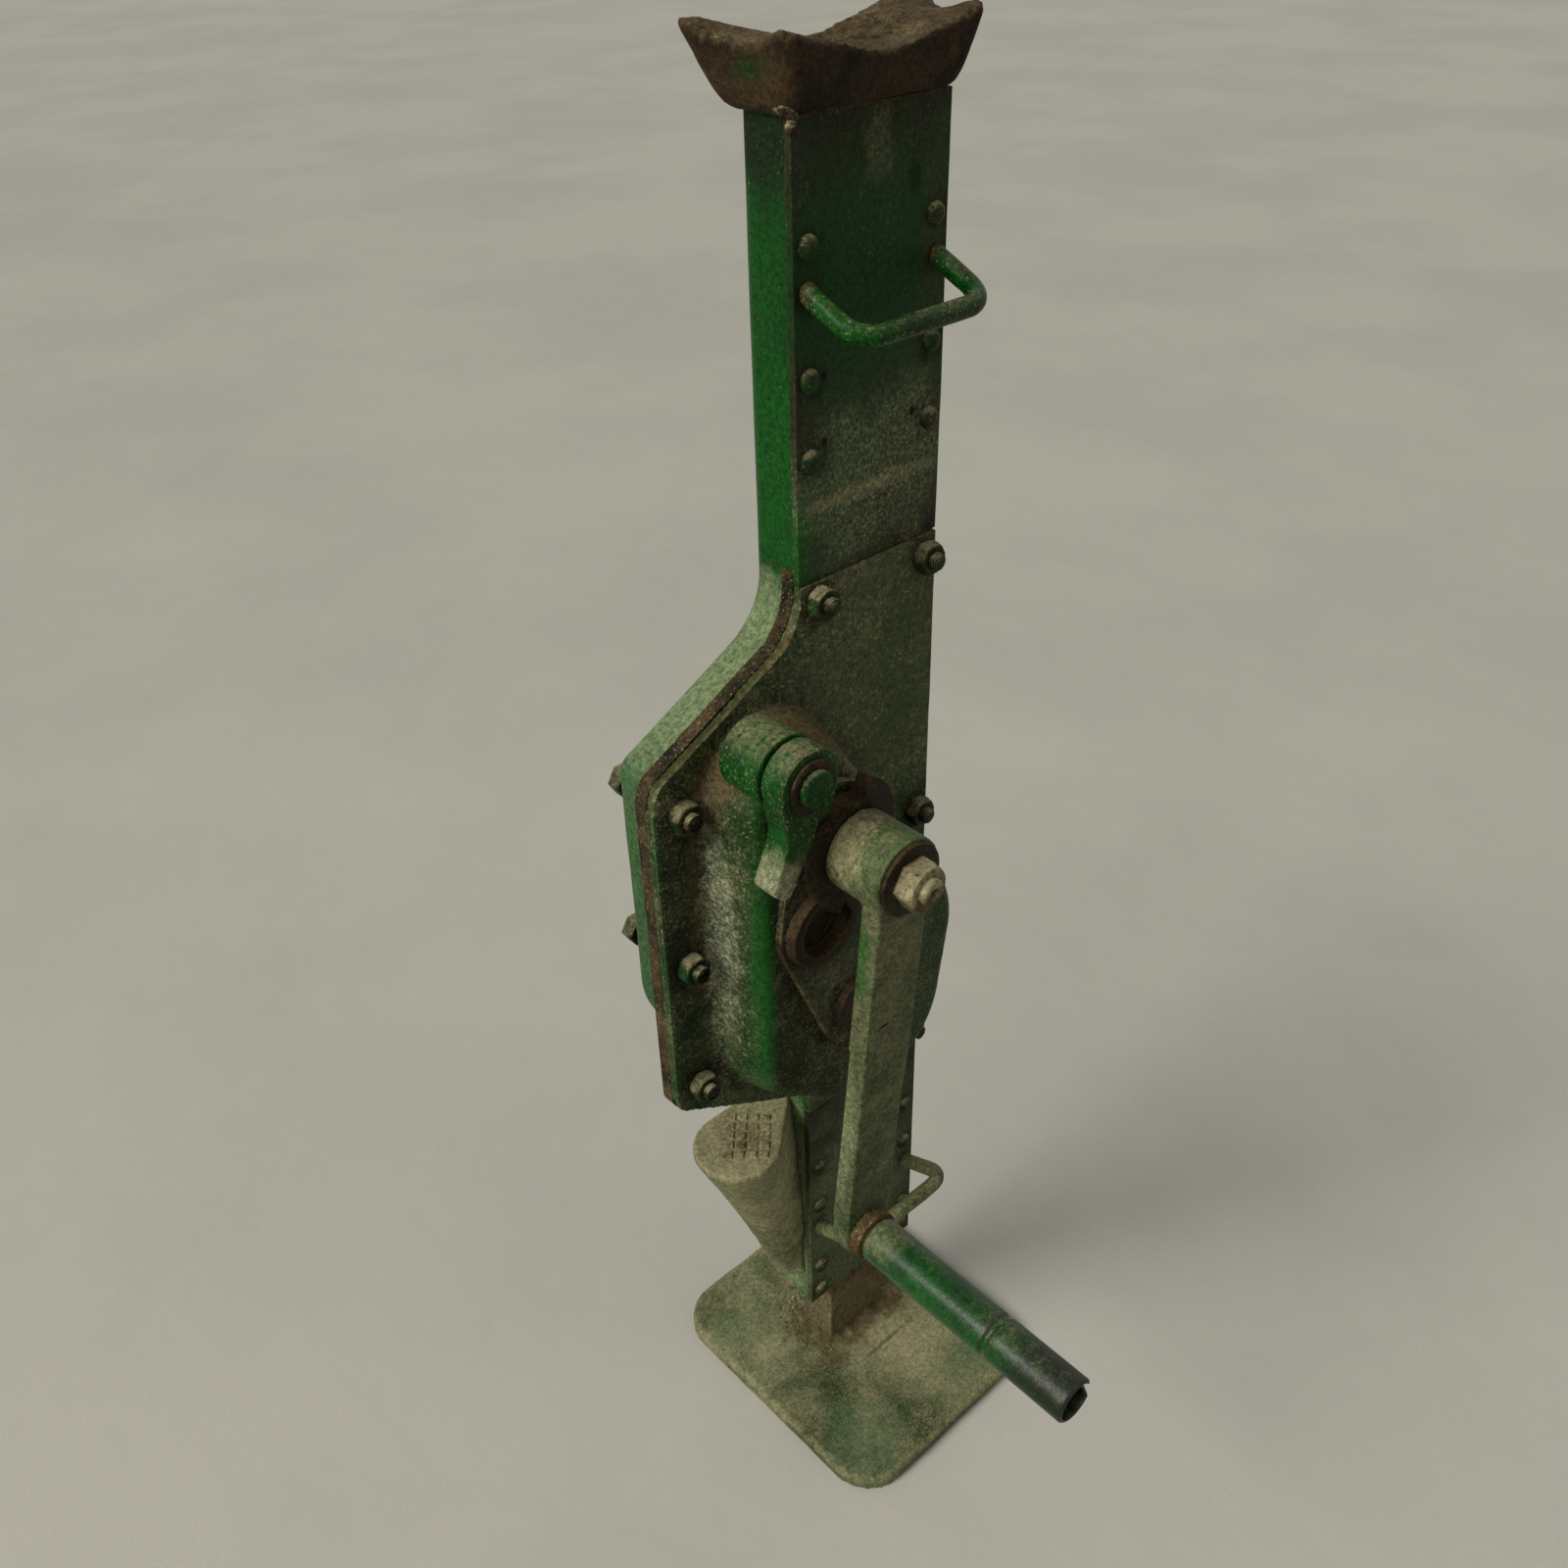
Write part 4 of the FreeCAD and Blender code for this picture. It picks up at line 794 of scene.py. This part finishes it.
def write_distance(mesh, name, points):
    """Distance of every vertex to the nearest of some points, kept on the mesh."""
    far = [NOWHERE_NEAR] * len(mesh.vertices)
    if points:
        tree = kdtree.KDTree(len(points))
        for index, point in enumerate(points):
            tree.insert(point, index)
        tree.balance()
        far = [min(NOWHERE_NEAR, tree.find(vertex.co)[2]) for vertex in mesh.vertices]
    mesh.attributes.new(name, "FLOAT", "POINT").data.foreach_set("value", far)


def refine(work, longest):
    """Halves the long edges, the longest first, so that the surface can wander and carry marks."""
    bmesh.ops.triangulate(work, faces=work.faces[:])
    while True:
        long_edges = [(edge.calc_length(), edge) for edge in work.edges if edge.calc_length() > longest]
        if not long_edges:
            break
        for _, edge in sorted(long_edges, key=lambda item: item[0], reverse=True):
            middle = bmesh.utils.edge_split(edge, edge.verts[0], 0.5)[1]
            ends = {link.other_vert(middle) for link in middle.link_edges}
            for face in list(middle.link_faces):
                corner = next(vertex for vertex in face.verts if vertex is not middle and vertex not in ends)
                bmesh.utils.face_split(face, middle, corner)
    work.normal_update()


def wander(work, waves):
    """Moves the surface in and out by smooth noise."""
    work.normal_update()
    moves = []
    for vertex in work.verts:
        height = sum(depth * MM * noise.noise(vertex.co / (length * MM) + NOISE_SEED)
                     for length, depth in waves)
        moves.append(vertex.normal * height)
    for vertex, move in zip(work.verts, moves):
        vertex.co += move


def keep_in_box(work):
    low, high = CAD_BOX
    for vertex in work.verts:
        vertex.co = Vector(min(max(x, a), b) for x, a, b in zip(vertex.co, low, high))


def show(name, mesh, material, body, nodes=()):
    """Puts a finished mesh in the scene on its body, in place of the frame's nodes."""
    mesh.materials.clear()
    mesh.materials.append(material)
    piece = put(name, mesh)
    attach(piece, body)
    if nodes:
        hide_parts(*nodes)


def body_of(node):
    bodies = frame["record"]["behaviour"]["bodies"]
    return next(body for body, members in bodies.items() if node in members)


def close(name, work, node, material, marks, waves, shape):
    """Last steps of a piece: unevenness, its own shape, smooth shading and marks."""
    wander(work, waves)
    if shape is not None:
        shape(work)
    keep_in_box(work)
    mesh = finished_mesh(name, work)
    mesh.shade_smooth()
    mesh.set_sharp_from_angle(angle=SMOOTH_ANGLE)
    for attribute, points in marks.items():
        write_distance(mesh, attribute, points)
    show(name, mesh, material, body_of(node), [node])


def pressed(name, node, material, longest, neighbours=(), waves=None, edge_round=None, shape=None):
    """Sheet or turned piece: the node with rounded edges and a slightly wavy surface."""
    work, marks = marked(node, neighbours)
    bmesh.ops.dissolve_limit(work, angle_limit=FLAT_ANGLE, verts=work.verts[:], edges=work.edges[:])
    width = sizes().edge_round if edge_round is None else edge_round * MM
    bmesh.ops.bevel(work, geom=sharp_edges(work, True), offset=width, offset_type="OFFSET", segments=2,
                    profile=0.5, affect="EDGES", clamp_overlap=True)
    bmesh.ops.remove_doubles(work, verts=work.verts[:], dist=MERGE_GAP)
    refine(work, longest * MM)
    if waves is None:
        waves = [(length, share * sizes().sheet_wave / MM) for length, share in SHEET_SHARES]
    close(name, work, node, material, marks, waves, shape)


def cast(name, node, material, voxel, relax, neighbours=(), waves=None, shape=None, lean=0.0):
    """Cast or forged piece: the node remade as an even skin, in line with its lean, softened and pitted."""
    work, marks = marked(node, neighbours)
    upright = Matrix.Rotation(-lean, 4, "Y")
    work.transform(upright)
    holder = put(name + "_skin", finished_mesh(name + "_skin", work))
    remesh = holder.modifiers.new("Skin", "REMESH")
    remesh.mode = "VOXEL"
    remesh.voxel_size = voxel * MM
    soften = holder.modifiers.new("Soften", "SMOOTH")
    soften.factor = 0.5
    soften.iterations = relax
    skin = plain_mesh(holder)
    work = bmesh.new()
    work.from_mesh(skin)
    work.transform(upright.inverted())
    bpy.data.objects.remove(holder)
    bpy.data.meshes.remove(skin)
    if waves is None:
        waves = [(length, share * sizes().cast_pits / MM) for length, share in CAST_SHARES]
    close(name, work, node, material, marks, waves, shape)


def islands(node):
    """Boxes of a node's separate solids: (lowest corner, highest corner)."""
    work = blank(node)
    found = []
    waiting = set(work.verts)
    while waiting:
        group = [waiting.pop()]
        for vertex in group:
            for edge in vertex.link_edges:
                other = edge.other_vert(vertex)
                if other in waiting:
                    waiting.remove(other)
                    group.append(other)
        low = Vector(min(v.co[axis] for v in group) for axis in range(3))
        high = Vector(max(v.co[axis] for v in group) for axis in range(3))
        found.append((low, high))
    work.free()
    return sorted(found, key=lambda box: (round(box[0].z, 5), round(box[0].x, 5)))


def grown(name, tree_name, values, points, edges=(), faces=()):
    """Plain mesh that a geometry tree grows from points, lines or faces; values go in by socket name."""
    mesh = bpy.data.meshes.new(name + "_seed")
    mesh.from_pydata([tuple(point) for point in points], edges, faces)
    holder = put(name + "_seed", mesh)
    modifier = holder.modifiers.new("Grow", "NODES")
    modifier.node_group = bpy.data.node_groups[tree_name]
    for socket in modifier.node_group.interface.items_tree:
        if socket.in_out == "INPUT" and socket.name in values:
            modifier[socket.identifier] = values[socket.name]
    bpy.context.view_layer.update()
    plain = plain_mesh(holder)
    plain.name = name
    holder.modifiers.clear()
    bpy.data.objects.remove(holder)
    return plain


def growth_tree(name, seed, inputs):
    """A geometry tree with a seed and a material."""
    inputs = {"Geometry": GEOMETRY, **inputs, "Seed": seed, "Material": MATERIAL}
    return new_tree(name, "GeometryNodeTree", inputs, {"Geometry": GEOMETRY})


def plant(wires, given, made, instance, points=None, smooth=True, **placing):
    """Ends a growth tree: the instance on every point, made real and painted."""
    placing.update(Points=given["Geometry"] if points is None else points, Instance=instance)
    real = wires.out("GeometryNodeRealizeInstances", {0: wires.out("GeometryNodeInstanceOnPoints", placing)})
    if smooth:
        real = wires.out("GeometryNodeSetShadeSmooth", {0: real})
    painted = wires.out("GeometryNodeSetMaterial", {"Geometry": real, "Material": given["Material"]})
    wires.feed(made["Geometry"], painted)


def rivet_tree():
    """Dome heads on points, each hammered a little differently."""
    wires, given, made = growth_tree("Dome rivets", 4, {"Head Radius": 5 * MM, "Head Height": 3.2 * MM,
                                                        "Unevenness": 0.12})
    ball = wires.out("GeometryNodeMeshUVSphere", {"Segments": 24, "Rings": 14, "Radius": 1.0}, "Mesh")
    form = wires.axes(given["Head Radius"], given["Head Height"], given["Head Radius"])
    dome = wires.out("GeometryNodeTransform", {"Geometry": ball, "Scale": form})
    scale = wires.drawn(wires.minus(1.0, given["Unevenness"]), 1.0, given["Seed"])
    plant(wires, given, made, dome, Scale=scale)


def nut_tree():
    """Nuts on points, each turned by chance, with a threaded stud end standing out of them."""
    wires, given, made = growth_tree("Nuts and studs", 7, {"Nut": OBJECT, "Stud Radius": 4 * MM,
                                                           "Stud Length": 9.5 * MM, "Pitch": 1.25 * MM})
    length = given["Stud Length"]
    ridge_radius = wires.times(given["Pitch"], 0.45)
    core_radius = wires.minus(given["Stud Radius"], ridge_radius)
    core = wires.out("GeometryNodeMeshCylinder", {
        "Vertices": 24, "Radius": core_radius, "Depth": length}, "Mesh")
    turns = wires.math("DIVIDE", length, given["Pitch"])
    spiral = wires.out("GeometryNodeCurveSpiral", {
        "Resolution": 20, "Rotations": turns, "Start Radius": core_radius, "End Radius": core_radius,
        "Height": length})
    ridge = wires.out("GeometryNodeCurvePrimitiveCircle", {"Resolution": 4, "Radius": ridge_radius}, "Curve")
    thread = wires.out("GeometryNodeCurveToMesh", {"Curve": spiral, "Profile Curve": ridge})
    lift = wires.axes(z=wires.times(length, 0.5))
    raised = wires.out("GeometryNodeTransform", {"Geometry": core, "Translation": lift})
    forward = wires.out("GeometryNodeTransform", {"Geometry": wires.joined(raised, thread),
                                                  "Rotation": (TURN / 4, 0.0, 0.0)})
    nut = wires.out("GeometryNodeObjectInfo", {"Object": given["Nut"]}, "Geometry")
    turn = wires.axes(y=wires.drawn(0.0, TURN, given["Seed"]))
    plant(wires, given, made, wires.joined(forward, nut), Rotation=turn)


def weld_tree():
    """Beads laid one over the next along lines."""
    wires, given, made = growth_tree("Weld beads", 3, {"Bead": 2.2 * MM, "Spacing": 1.8 * MM})
    line = wires.out("GeometryNodeMeshToCurve", {0: given["Geometry"]})
    spacing = {"Curve": line, "Length": given["Spacing"]}
    steps = wires.out("GeometryNodeResampleCurve", spacing, mode="LENGTH")
    bead = wires.out("GeometryNodeMeshIcoSphere", {"Radius": given["Bead"], "Subdivisions": 2}, "Mesh")
    scale = wires.drawn((0.7, 0.7, 0.7), (1.15, 1.15, 1.15), given["Seed"])
    plant(wires, given, made, bead, steps, Scale=scale)


def chequer_tree():
    """Rows of low blunt pyramids on points."""
    wires, given, made = growth_tree("Chequer", 5, {"Pitch": 6.6 * MM, "Height": 1.1 * MM, "Turn": 0.0})
    stud = wires.out("GeometryNodeMeshCone", {
        "Vertices": 4, "Radius Top": wires.times(given["Pitch"], 0.42),
        "Radius Bottom": wires.times(given["Pitch"], 0.6), "Depth": given["Height"]}, "Mesh")
    turn = wires.axes(z=wires.plus(given["Turn"], TURN / 8))
    scale = wires.drawn((0.85, 0.85, 0.55), (1.05, 1.05, 1.0), given["Seed"])
    plant(wires, given, made, stud, smooth=False, Rotation=turn, Scale=scale)


def crumb_tree():
    """Crumbs strewn over a face, each of its own size and turn."""
    wires, given, made = growth_tree("Crumbs", 9, {"Size": 1.5 * MM, "Density": 90000.0})
    spots = wires.out("GeometryNodeDistributePointsOnFaces", {
        "Mesh": given["Geometry"], "Density": given["Density"], "Seed": given["Seed"]}, "Points")
    crumb = wires.out("GeometryNodeMeshIcoSphere", {"Radius": given["Size"], "Subdivisions": 1}, "Mesh")
    turn = wires.drawn((0.0, 0.0, 0.0), (TURN, TURN, TURN), given["Seed"])
    scale = wires.drawn((0.2, 0.25, 0.15), (1.0, 0.8, 0.7), given["Seed"])
    plant(wires, given, made, crumb, spots, Rotation=turn, Scale=scale)


def make_trees():
    for build in (worn_edge_group, nook_dirt_and_shade_group, dust_group, patch_group, surface_group, streak_group,
                  rivet_tree, nut_tree, weld_tree, chequer_tree, crumb_tree):
        build()


def nut_mesh(name, flats, height, bore):
    """Hexagon nut lying along Y, its front at -height, with turned chamfers and an open bore."""
    work = bmesh.new()
    crown = flats * NUT_CROWN
    bevel = flats * NUT_BEVEL
    profile = [(flats, bevel + (height - 2 * bevel) * row) for row in NUT_ROWS]
    profile = [(crown, 0.0)] + profile + [(crown, height), (bore, height), (bore, 0.0)]
    rings = []
    for limit, depth in profile:
        turned = crown + min(depth, height - depth) * NUT_SLOPE
        ring = []
        for step in range(NUT_STEPS):
            angle = TURN * step / NUT_STEPS
            side = (angle + TURN / 12) % (TURN / 6) - TURN / 12
            radius = min(flats / 2 / math.cos(side), turned, limit)
            ring.append(work.verts.new((radius * math.cos(angle), -depth, radius * math.sin(angle))))
        rings.append(ring)
    for first, second in zip(rings, rings[1:] + rings[:1]):
        for step in range(NUT_STEPS):
            following = (step + 1) % NUT_STEPS
            work.faces.new((first[step], first[following], second[following], second[step]))
    bmesh.ops.recalc_face_normals(work, faces=work.faces[:])
    return finished_mesh(name, work)


def heap_soil(work):
    """Banks soil on the foot plate against the rack."""
    low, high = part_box("rack")
    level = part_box("foot_plate")[1].z - HEAP_START
    for vertex in work.verts:
        if vertex.co.z < level:
            continue
        outside = [max(a - x, x - b, 0.0) for x, a, b in zip(vertex.co.xy, low.xy, high.xy)]
        near = max(0.0, 1.0 - math.hypot(*outside) / HEAP_REACH)
        lumps = 0.6 + 0.8 * noise.noise(vertex.co / LUMP_SIZE + NOISE_SEED)
        vertex.co.z += sizes().heap * near * near * lumps


def fatten_rim(work):
    """Thickens the rim and the horns of the head towards their tips."""
    work.normal_update()
    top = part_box("horn_head")[1].z
    for vertex in work.verts:
        share = 1.0 - (top - vertex.co.z) / RIM_RISE
        if share > 0.0:
            vertex.co += vertex.normal * sizes().rim * share


def notch_end(work):
    """Cuts a shallow notch into the far end of the grip."""
    low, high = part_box("grip_sleeve")
    middle = (low + high) / 2
    depth = sizes().notch
    for vertex in work.verts:
        from_end = vertex.co.y - low.y
        side = math.atan2(vertex.co.z - middle.z, vertex.co.x - middle.x) / NOTCH_REACH
        if from_end < depth and abs(side) < 1.0:
            vertex.co.y += (depth - from_end) * (1.0 - side * side)


def seam_points(node, depth):
    """Points up the left outside of a node at a given depth."""
    work = blank(node)
    skin = BVHTree.FromBMesh(work)
    work.free()
    points = []
    for step in range(SEAM_STEPS + 1):
        height = SEAM_BOTTOM + (SEAM_TOP - SEAM_BOTTOM) * step / SEAM_STEPS
        start = Vector((CAD_BOX[0].x - MM, depth, height))
        points.append(skin.ray_cast(start, Vector((1.0, 0.0, 0.0)))[0])
    return points


def beaded(name, lines, bead, material):
    """Beads along lines of points, as one piece on the housing."""
    points = []
    edges = []
    for line in lines:
        edges += [(len(points) + step, len(points) + step + 1) for step in range(len(line) - 1)]
        points += line
    values = {"Bead": bead, "Spacing": bead * BEAD_SPACING, "Material": material}
    show(name, grown(name, "Weld beads", values, points, edges), material, "housing")


def repaint(material, *nodes):
    for node in nodes:
        for slot in frame["nodes"][node].material_slots:
            slot.material = material


def lay_floor(stage):
    mesh = bpy.data.meshes.new("floor")
    corners = [(x * FLOOR_REACH, y * FLOOR_REACH, 0.0) for x, y in ((-1, -1), (1, -1), (1, 1), (-1, 1))]
    mesh.from_pydata(corners, [], [range(len(corners))])
    cloth = Paint("floor_cloth", 0.95, palette=stage).base("floor", "floor_shade", 2, 0.08)
    mesh.materials.append(cloth.done(5, 3, 0.0, 0.0))
    put("floor", mesh)


def light_world(scene, stage):
    """Even light from all round, and a backdrop for the camera and for reflections."""
    scene.world = bpy.data.worlds.new("studio")
    scene.world.use_nodes = True
    wires = Wiring(scene.world.node_tree)
    backdrop = scene.world.node_tree.nodes["Background"]
    backdrop.inputs["Color"].default_value = SKY_TINT
    rays = wires.add("ShaderNodeLightPath").outputs
    seen = wires.math("MAXIMUM", rays["Is Camera Ray"], rays["Is Glossy Ray"])
    seen = wires.math("MAXIMUM", seen, rays["Is Transmission Ray"])
    wires.feed(backdrop.inputs["Strength"], wires.between(seen, stage.sky, stage.backdrop))


def hang_lamp(name, kind, place, power):
    """A lamp that looks at the middle of the jack."""
    lamp = bpy.data.lights.new(name, kind)
    lamp.energy = power
    lamp.color = LAMP_TINT
    holder = put(name, lamp)
    holder.location = place
    aim = (CAD_BOX[0] + CAD_BOX[1]) / 2 - Vector(place)
    holder.rotation_euler = aim.to_track_quat("-Z", "Y").to_euler()
    return lamp


def set_camera(scene, stage):
    camera = bpy.data.cameras.new("photo_camera")
    camera.sensor_width = SENSOR_WIDTH
    camera.lens = stage.focal_length
    holder = put("photo_camera", camera)
    turn = Matrix((CAMERA_RIGHT, CAMERA_UP, CAMERA_RIGHT.cross(CAMERA_UP))).transposed().to_4x4()
    holder.matrix_world = Matrix.Translation(CAMERA_PLACE) @ turn
    scene.camera = holder


class JackOperator:
    """What the jack's operators share."""
    bl_options = {"REGISTER", "UNDO"}


class JACK_OT_foot(JackOperator, bpy.types.Operator):
    """Make the foot plate and the rack that stands on it"""
    bl_idname = "jack.foot"
    bl_label = "Foot plate and rack"

    def execute(self, context):
        cast("foot_plate_skin", "foot_plate", foot_paint(), 1.6, 3, ("rack",), shape=heap_soil)
        pressed("rack_bar", "rack", rack_paint(), 12.0, (), RACK_WAVES, 0.6)
        paint = crumb_paint()
        low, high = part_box("rack")
        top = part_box("foot_plate")[1].z + sizes().heap * CRUMB_LIFT
        reach = CRUMB_REACH
        corners = [(x, y, top) for x, y in (
            (low.x - reach, low.y - reach), (low.x, low.y - reach * 0.4), (low.x, high.y),
            (high.x, high.y + reach), (low.x, high.y + reach * 2), (low.x - reach, high.y + reach))]
        values = {"Size": sizes().crumb, "Material": paint}
        crumbs = grown("soil_crumbs", "Crumbs", values, corners, faces=[range(len(corners))])
        show("soil_crumbs", crumbs, paint, "base")
        return {"FINISHED"}


class JACK_OT_housing(JackOperator, bpy.types.Operator):
    """Make the pressed housing, its front plates and the gear cover"""
    bl_idname = "jack.housing"
    bl_label = "Housing"

    def execute(self, context):
        plate = plate_paint()
        pressed("housing_sheet", "housing_shell", shell_paint(), 9.0, ("horn_head", "flare_frame"))
        strip = frame_paint()
        pressed("flare_strip", "flare_frame", strip, 4.0)
        lines = [seam_points("housing_shell", depth) for depth in SEAM_DEPTHS]
        beaded("seam_dirt", lines, sizes().dirt_bead, strip)
        for side in ("upper", "lower"):
            neighbours = ("plate_rivets", side + "_handle", "gear_cover")
            pressed(side + "_front_plate", side + "_plate", plate, 4.0, neighbours)
        cast("gear_cover_pressing", "gear_cover", cover_paint(), 1.5, 3,
             ("cover_nuts", "bearing_plate", "pawl_boss"), PAN_WAVES)
        pressed("bearing_lozenge", "bearing_plate", bearing_paint(), 3.0, ("front_bushes",))
        return {"FINISHED"}


class JACK_OT_fasteners(JackOperator, bpy.types.Operator):
    """Set the rivets, nuts and studs"""
    bl_idname = "jack.fasteners"
    bl_label = "Rivets, nuts and studs"

    def execute(self, context):
        paint = fastener_paint()
        rivets = islands("plate_rivets")
        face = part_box("upper_plate")[0].y
        spots = [((low.x + high.x) / 2, face, (low.z + high.z) / 2) for low, high in rivets]
        low, high = rivets[0]
        values = {"Head Radius": (high.x - low.x) / 2, "Head Height": face - low.y, "Material": paint}
        domes = grown("rivet_domes", "Dome rivets", values, spots)
        show("rivet_domes", domes, paint, "housing", ["plate_rivets"])
        nuts = islands("cover_nuts")
        low, high = nuts[0]
        stud_low, stud_high = islands("cover_studs")[0]
        bore = (stud_high.x - stud_low.x) / 2
        pattern = put("nut_pattern", nut_mesh("nut_pattern", high.z - low.z, high.y - low.y, bore))
        spots = [((a.x + b.x) / 2, b.y, (a.z + b.z) / 2) for a, b in nuts]
        values = {"Nut": pattern, "Stud Radius": bore, "Stud Length": high.y - stud_low.y,
                  "Pitch": sizes().thread_pitch, "Material": paint}
        made = grown("cover_nut_set", "Nuts and studs", values, spots)
        bpy.data.objects.remove(pattern)
        show("cover_nut_set", made, paint, "housing", ["cover_nuts", "cover_studs"])
        repaint(paint, "cover_bolts")
        return {"FINISHED"}


class JACK_OT_head(JackOperator, bpy.types.Operator):
    """Make the four-horned head"""
    bl_idname = "jack.head"
    bl_label = "Horned head"

    def execute(self, context):
        cast("horned_head", "horn_head", casting_paint(), 1.1, 10, ("upper_plate",), shape=fatten_rim)
        low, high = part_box("upper_plate")
        corner = Vector((low.x, low.y, high.z))
        line = [corner + Vector(step) * MM for step in WELD_STEPS]
        beaded("head_weld", [line], sizes().weld_bead, weld_paint())
        return {"FINISHED"}


class JACK_OT_claw(JackOperator, bpy.types.Operator):
    """Make the lifting claw and its chequered top"""
    bl_idname = "jack.claw"
    bl_label = "Claw"

    def execute(self, context):
        cast("claw_forging", "claw", claw_paint(), 1.2, 4, ("housing_shell",))
        pitch = sizes().chequer_pitch
        middle = Vector((*CHEQUER_MIDDLE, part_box("claw")[1].z))
        along = Vector((math.cos(CHEQUER_TURN), math.sin(CHEQUER_TURN), 0.0))
        across = Vector((-along.y, along.x, 0.0))
        spots = [middle + along * row * pitch + across * column * pitch
                 for row in CHEQUER_ROWS for column in CHEQUER_COLUMNS]
        squares = chequer_paint()
        values = {"Pitch": pitch, "Height": sizes().chequer_height, "Turn": CHEQUER_TURN,
                  "Material": squares}
        studs = grown("claw_chequer", "Chequer", values, spots)
        show("claw_chequer", studs, squares, "housing")
        return {"FINISHED"}


class JACK_OT_handles(JackOperator, bpy.types.Operator):
    """Make the two bent-rod handles"""
    bl_idname = "jack.handles"
    bl_label = "Carrying handles"

    def execute(self, context):
        paint = handle_paint()
        for side in ("upper", "lower"):
            cast(side + "_bail", side + "_handle", paint, 0.8, 3, (side + "_plate",), ROD_WAVES)
        return {"FINISHED"}


class JACK_OT_crank(JackOperator, bpy.types.Operator):
    """Make the crank with its ratchet wheel, nut and grip"""
    bl_idname = "jack.crank"
    bl_label = "Crank"

    def execute(self, context):
        cast("crank_forging", "crank_arm", crank_paint(), 1.0, 10, ("crank_washer",), ARM_WAVES,
             lean=CRANK_LEAN)
        iron = iron_paint()
        pressed("ratchet", "ratchet_wheel", iron, 3.0)
        pressed("arm_washer", "crank_washer", iron, 3.0, (), WASHER_WAVES, 0.3)
        pressed("grip_pin", "grip_spindle", pin_paint(), 4.0, (), NO_WAVES, 0.3)
        pressed("grip_tube", "grip_sleeve", grip_paint(), 3.0, (), NO_WAVES, 0.3, notch_end)
        nut = nut_paint()
        pressed("arm_nut", "crank_nut", nut, 2.0, ("crank_washer",), NUT_WAVES, 0.4)
        repaint(nut, "crank_shaft")
        return {"FINISHED"}


class JACK_OT_pawl(JackOperator, bpy.types.Operator):
    """Make the pawl on its boss"""
    bl_idname = "jack.pawl"
    bl_label = "Pawl"

    def execute(self, context):
        paint = pawl_paint()
        cast("pawl_casting", "pawl", paint, 0.7, 4, (), PAWL_WAVES)
        pressed("pawl_stand", "pawl_boss", paint, 3.0, ("gear_cover",))
        pressed("pawl_disc", "pawl_washer", iron_paint(), 3.0, (), BUSH_WAVES, 0.3)
        return {"FINISHED"}


class JACK_OT_inside(JackOperator, bpy.types.Operator):
    """Paint the gears, shafts, bushes and guide bars"""
    bl_idname = "jack.inside"
    bl_label = "Gears, shafts and bushes"

    def execute(self, context):
        repaint(steel_paint(), "second_gear", "main_gear", "right_guide", "left_guide_upper",
                "left_guide_lower")
        iron = iron_paint()
        pressed("front_bush_set", "front_bushes", iron, 3.0, (), BUSH_WAVES, 0.5)
        repaint(iron, "rear_bushes", "second_shaft", "main_shaft")
        return {"FINISHED"}


class JACK_OT_stage(JackOperator, bpy.types.Operator):
    """Set up the floor, the light and the camera"""
    bl_idname = "jack.stage"
    bl_label = "Stage"

    def execute(self, context):
        scene = context.scene
        stage = scene.jack_stage
        scene.view_settings.view_transform = "Standard"
        lay_floor(stage)
        light_world(scene, stage)
        hang_lamp("sun_lamp", "SUN", SUN_PLACE, stage.sun_strength).angle = stage.sun_width
        hang_lamp("key_lamp", "AREA", KEY_PLACE, stage.key_power).size = KEY_SIZE
        set_camera(scene, stage)
        return {"FINISHED"}


OPERATORS = (JACK_OT_foot, JACK_OT_housing, JACK_OT_fasteners, JACK_OT_head, JACK_OT_claw, JACK_OT_handles,
             JACK_OT_crank, JACK_OT_pawl, JACK_OT_inside, JACK_OT_stage)


class JACK_PT_panel(bpy.types.Panel):
    """Lists the jack's settings and the steps that make it"""
    bl_idname = "JACK_PT_panel"
    bl_label = "Rack jack"
    bl_space_type = "VIEW_3D"
    bl_region_type = "UI"
    bl_category = "Rack jack"

    def draw(self, context):
        for group in (context.scene.jack_sizes, context.scene.jack_finish, context.scene.jack_stage):
            box = self.layout.box()
            for name in group.bl_rna.properties.keys():
                if name not in ("rna_type", "name"):
                    box.prop(group, name)
        for operator in OPERATORS:
            self.layout.operator(operator.bl_idname)


CLASSES = (JackSizes, JackFinish, JackStage) + OPERATORS + (JACK_PT_panel,)


def register():
    for item in CLASSES:
        bpy.utils.register_class(item)
    bpy.types.Scene.jack_sizes = bpy.props.PointerProperty(type=JackSizes)
    bpy.types.Scene.jack_finish = bpy.props.PointerProperty(type=JackFinish)
    bpy.types.Scene.jack_stage = bpy.props.PointerProperty(type=JackStage)


def unregister():
    del bpy.types.Scene.jack_stage
    del bpy.types.Scene.jack_finish
    del bpy.types.Scene.jack_sizes
    for item in reversed(CLASSES):
        bpy.utils.unregister_class(item)


def main():
    register()
    make_trees()
    bpy.ops.jack.foot()
    bpy.ops.jack.housing()
    bpy.ops.jack.fasteners()
    bpy.ops.jack.head()
    bpy.ops.jack.claw()
    bpy.ops.jack.handles()
    bpy.ops.jack.crank()
    bpy.ops.jack.pawl()
    bpy.ops.jack.inside()
    bpy.ops.jack.stage()


if __name__ == "__main__":
    main()
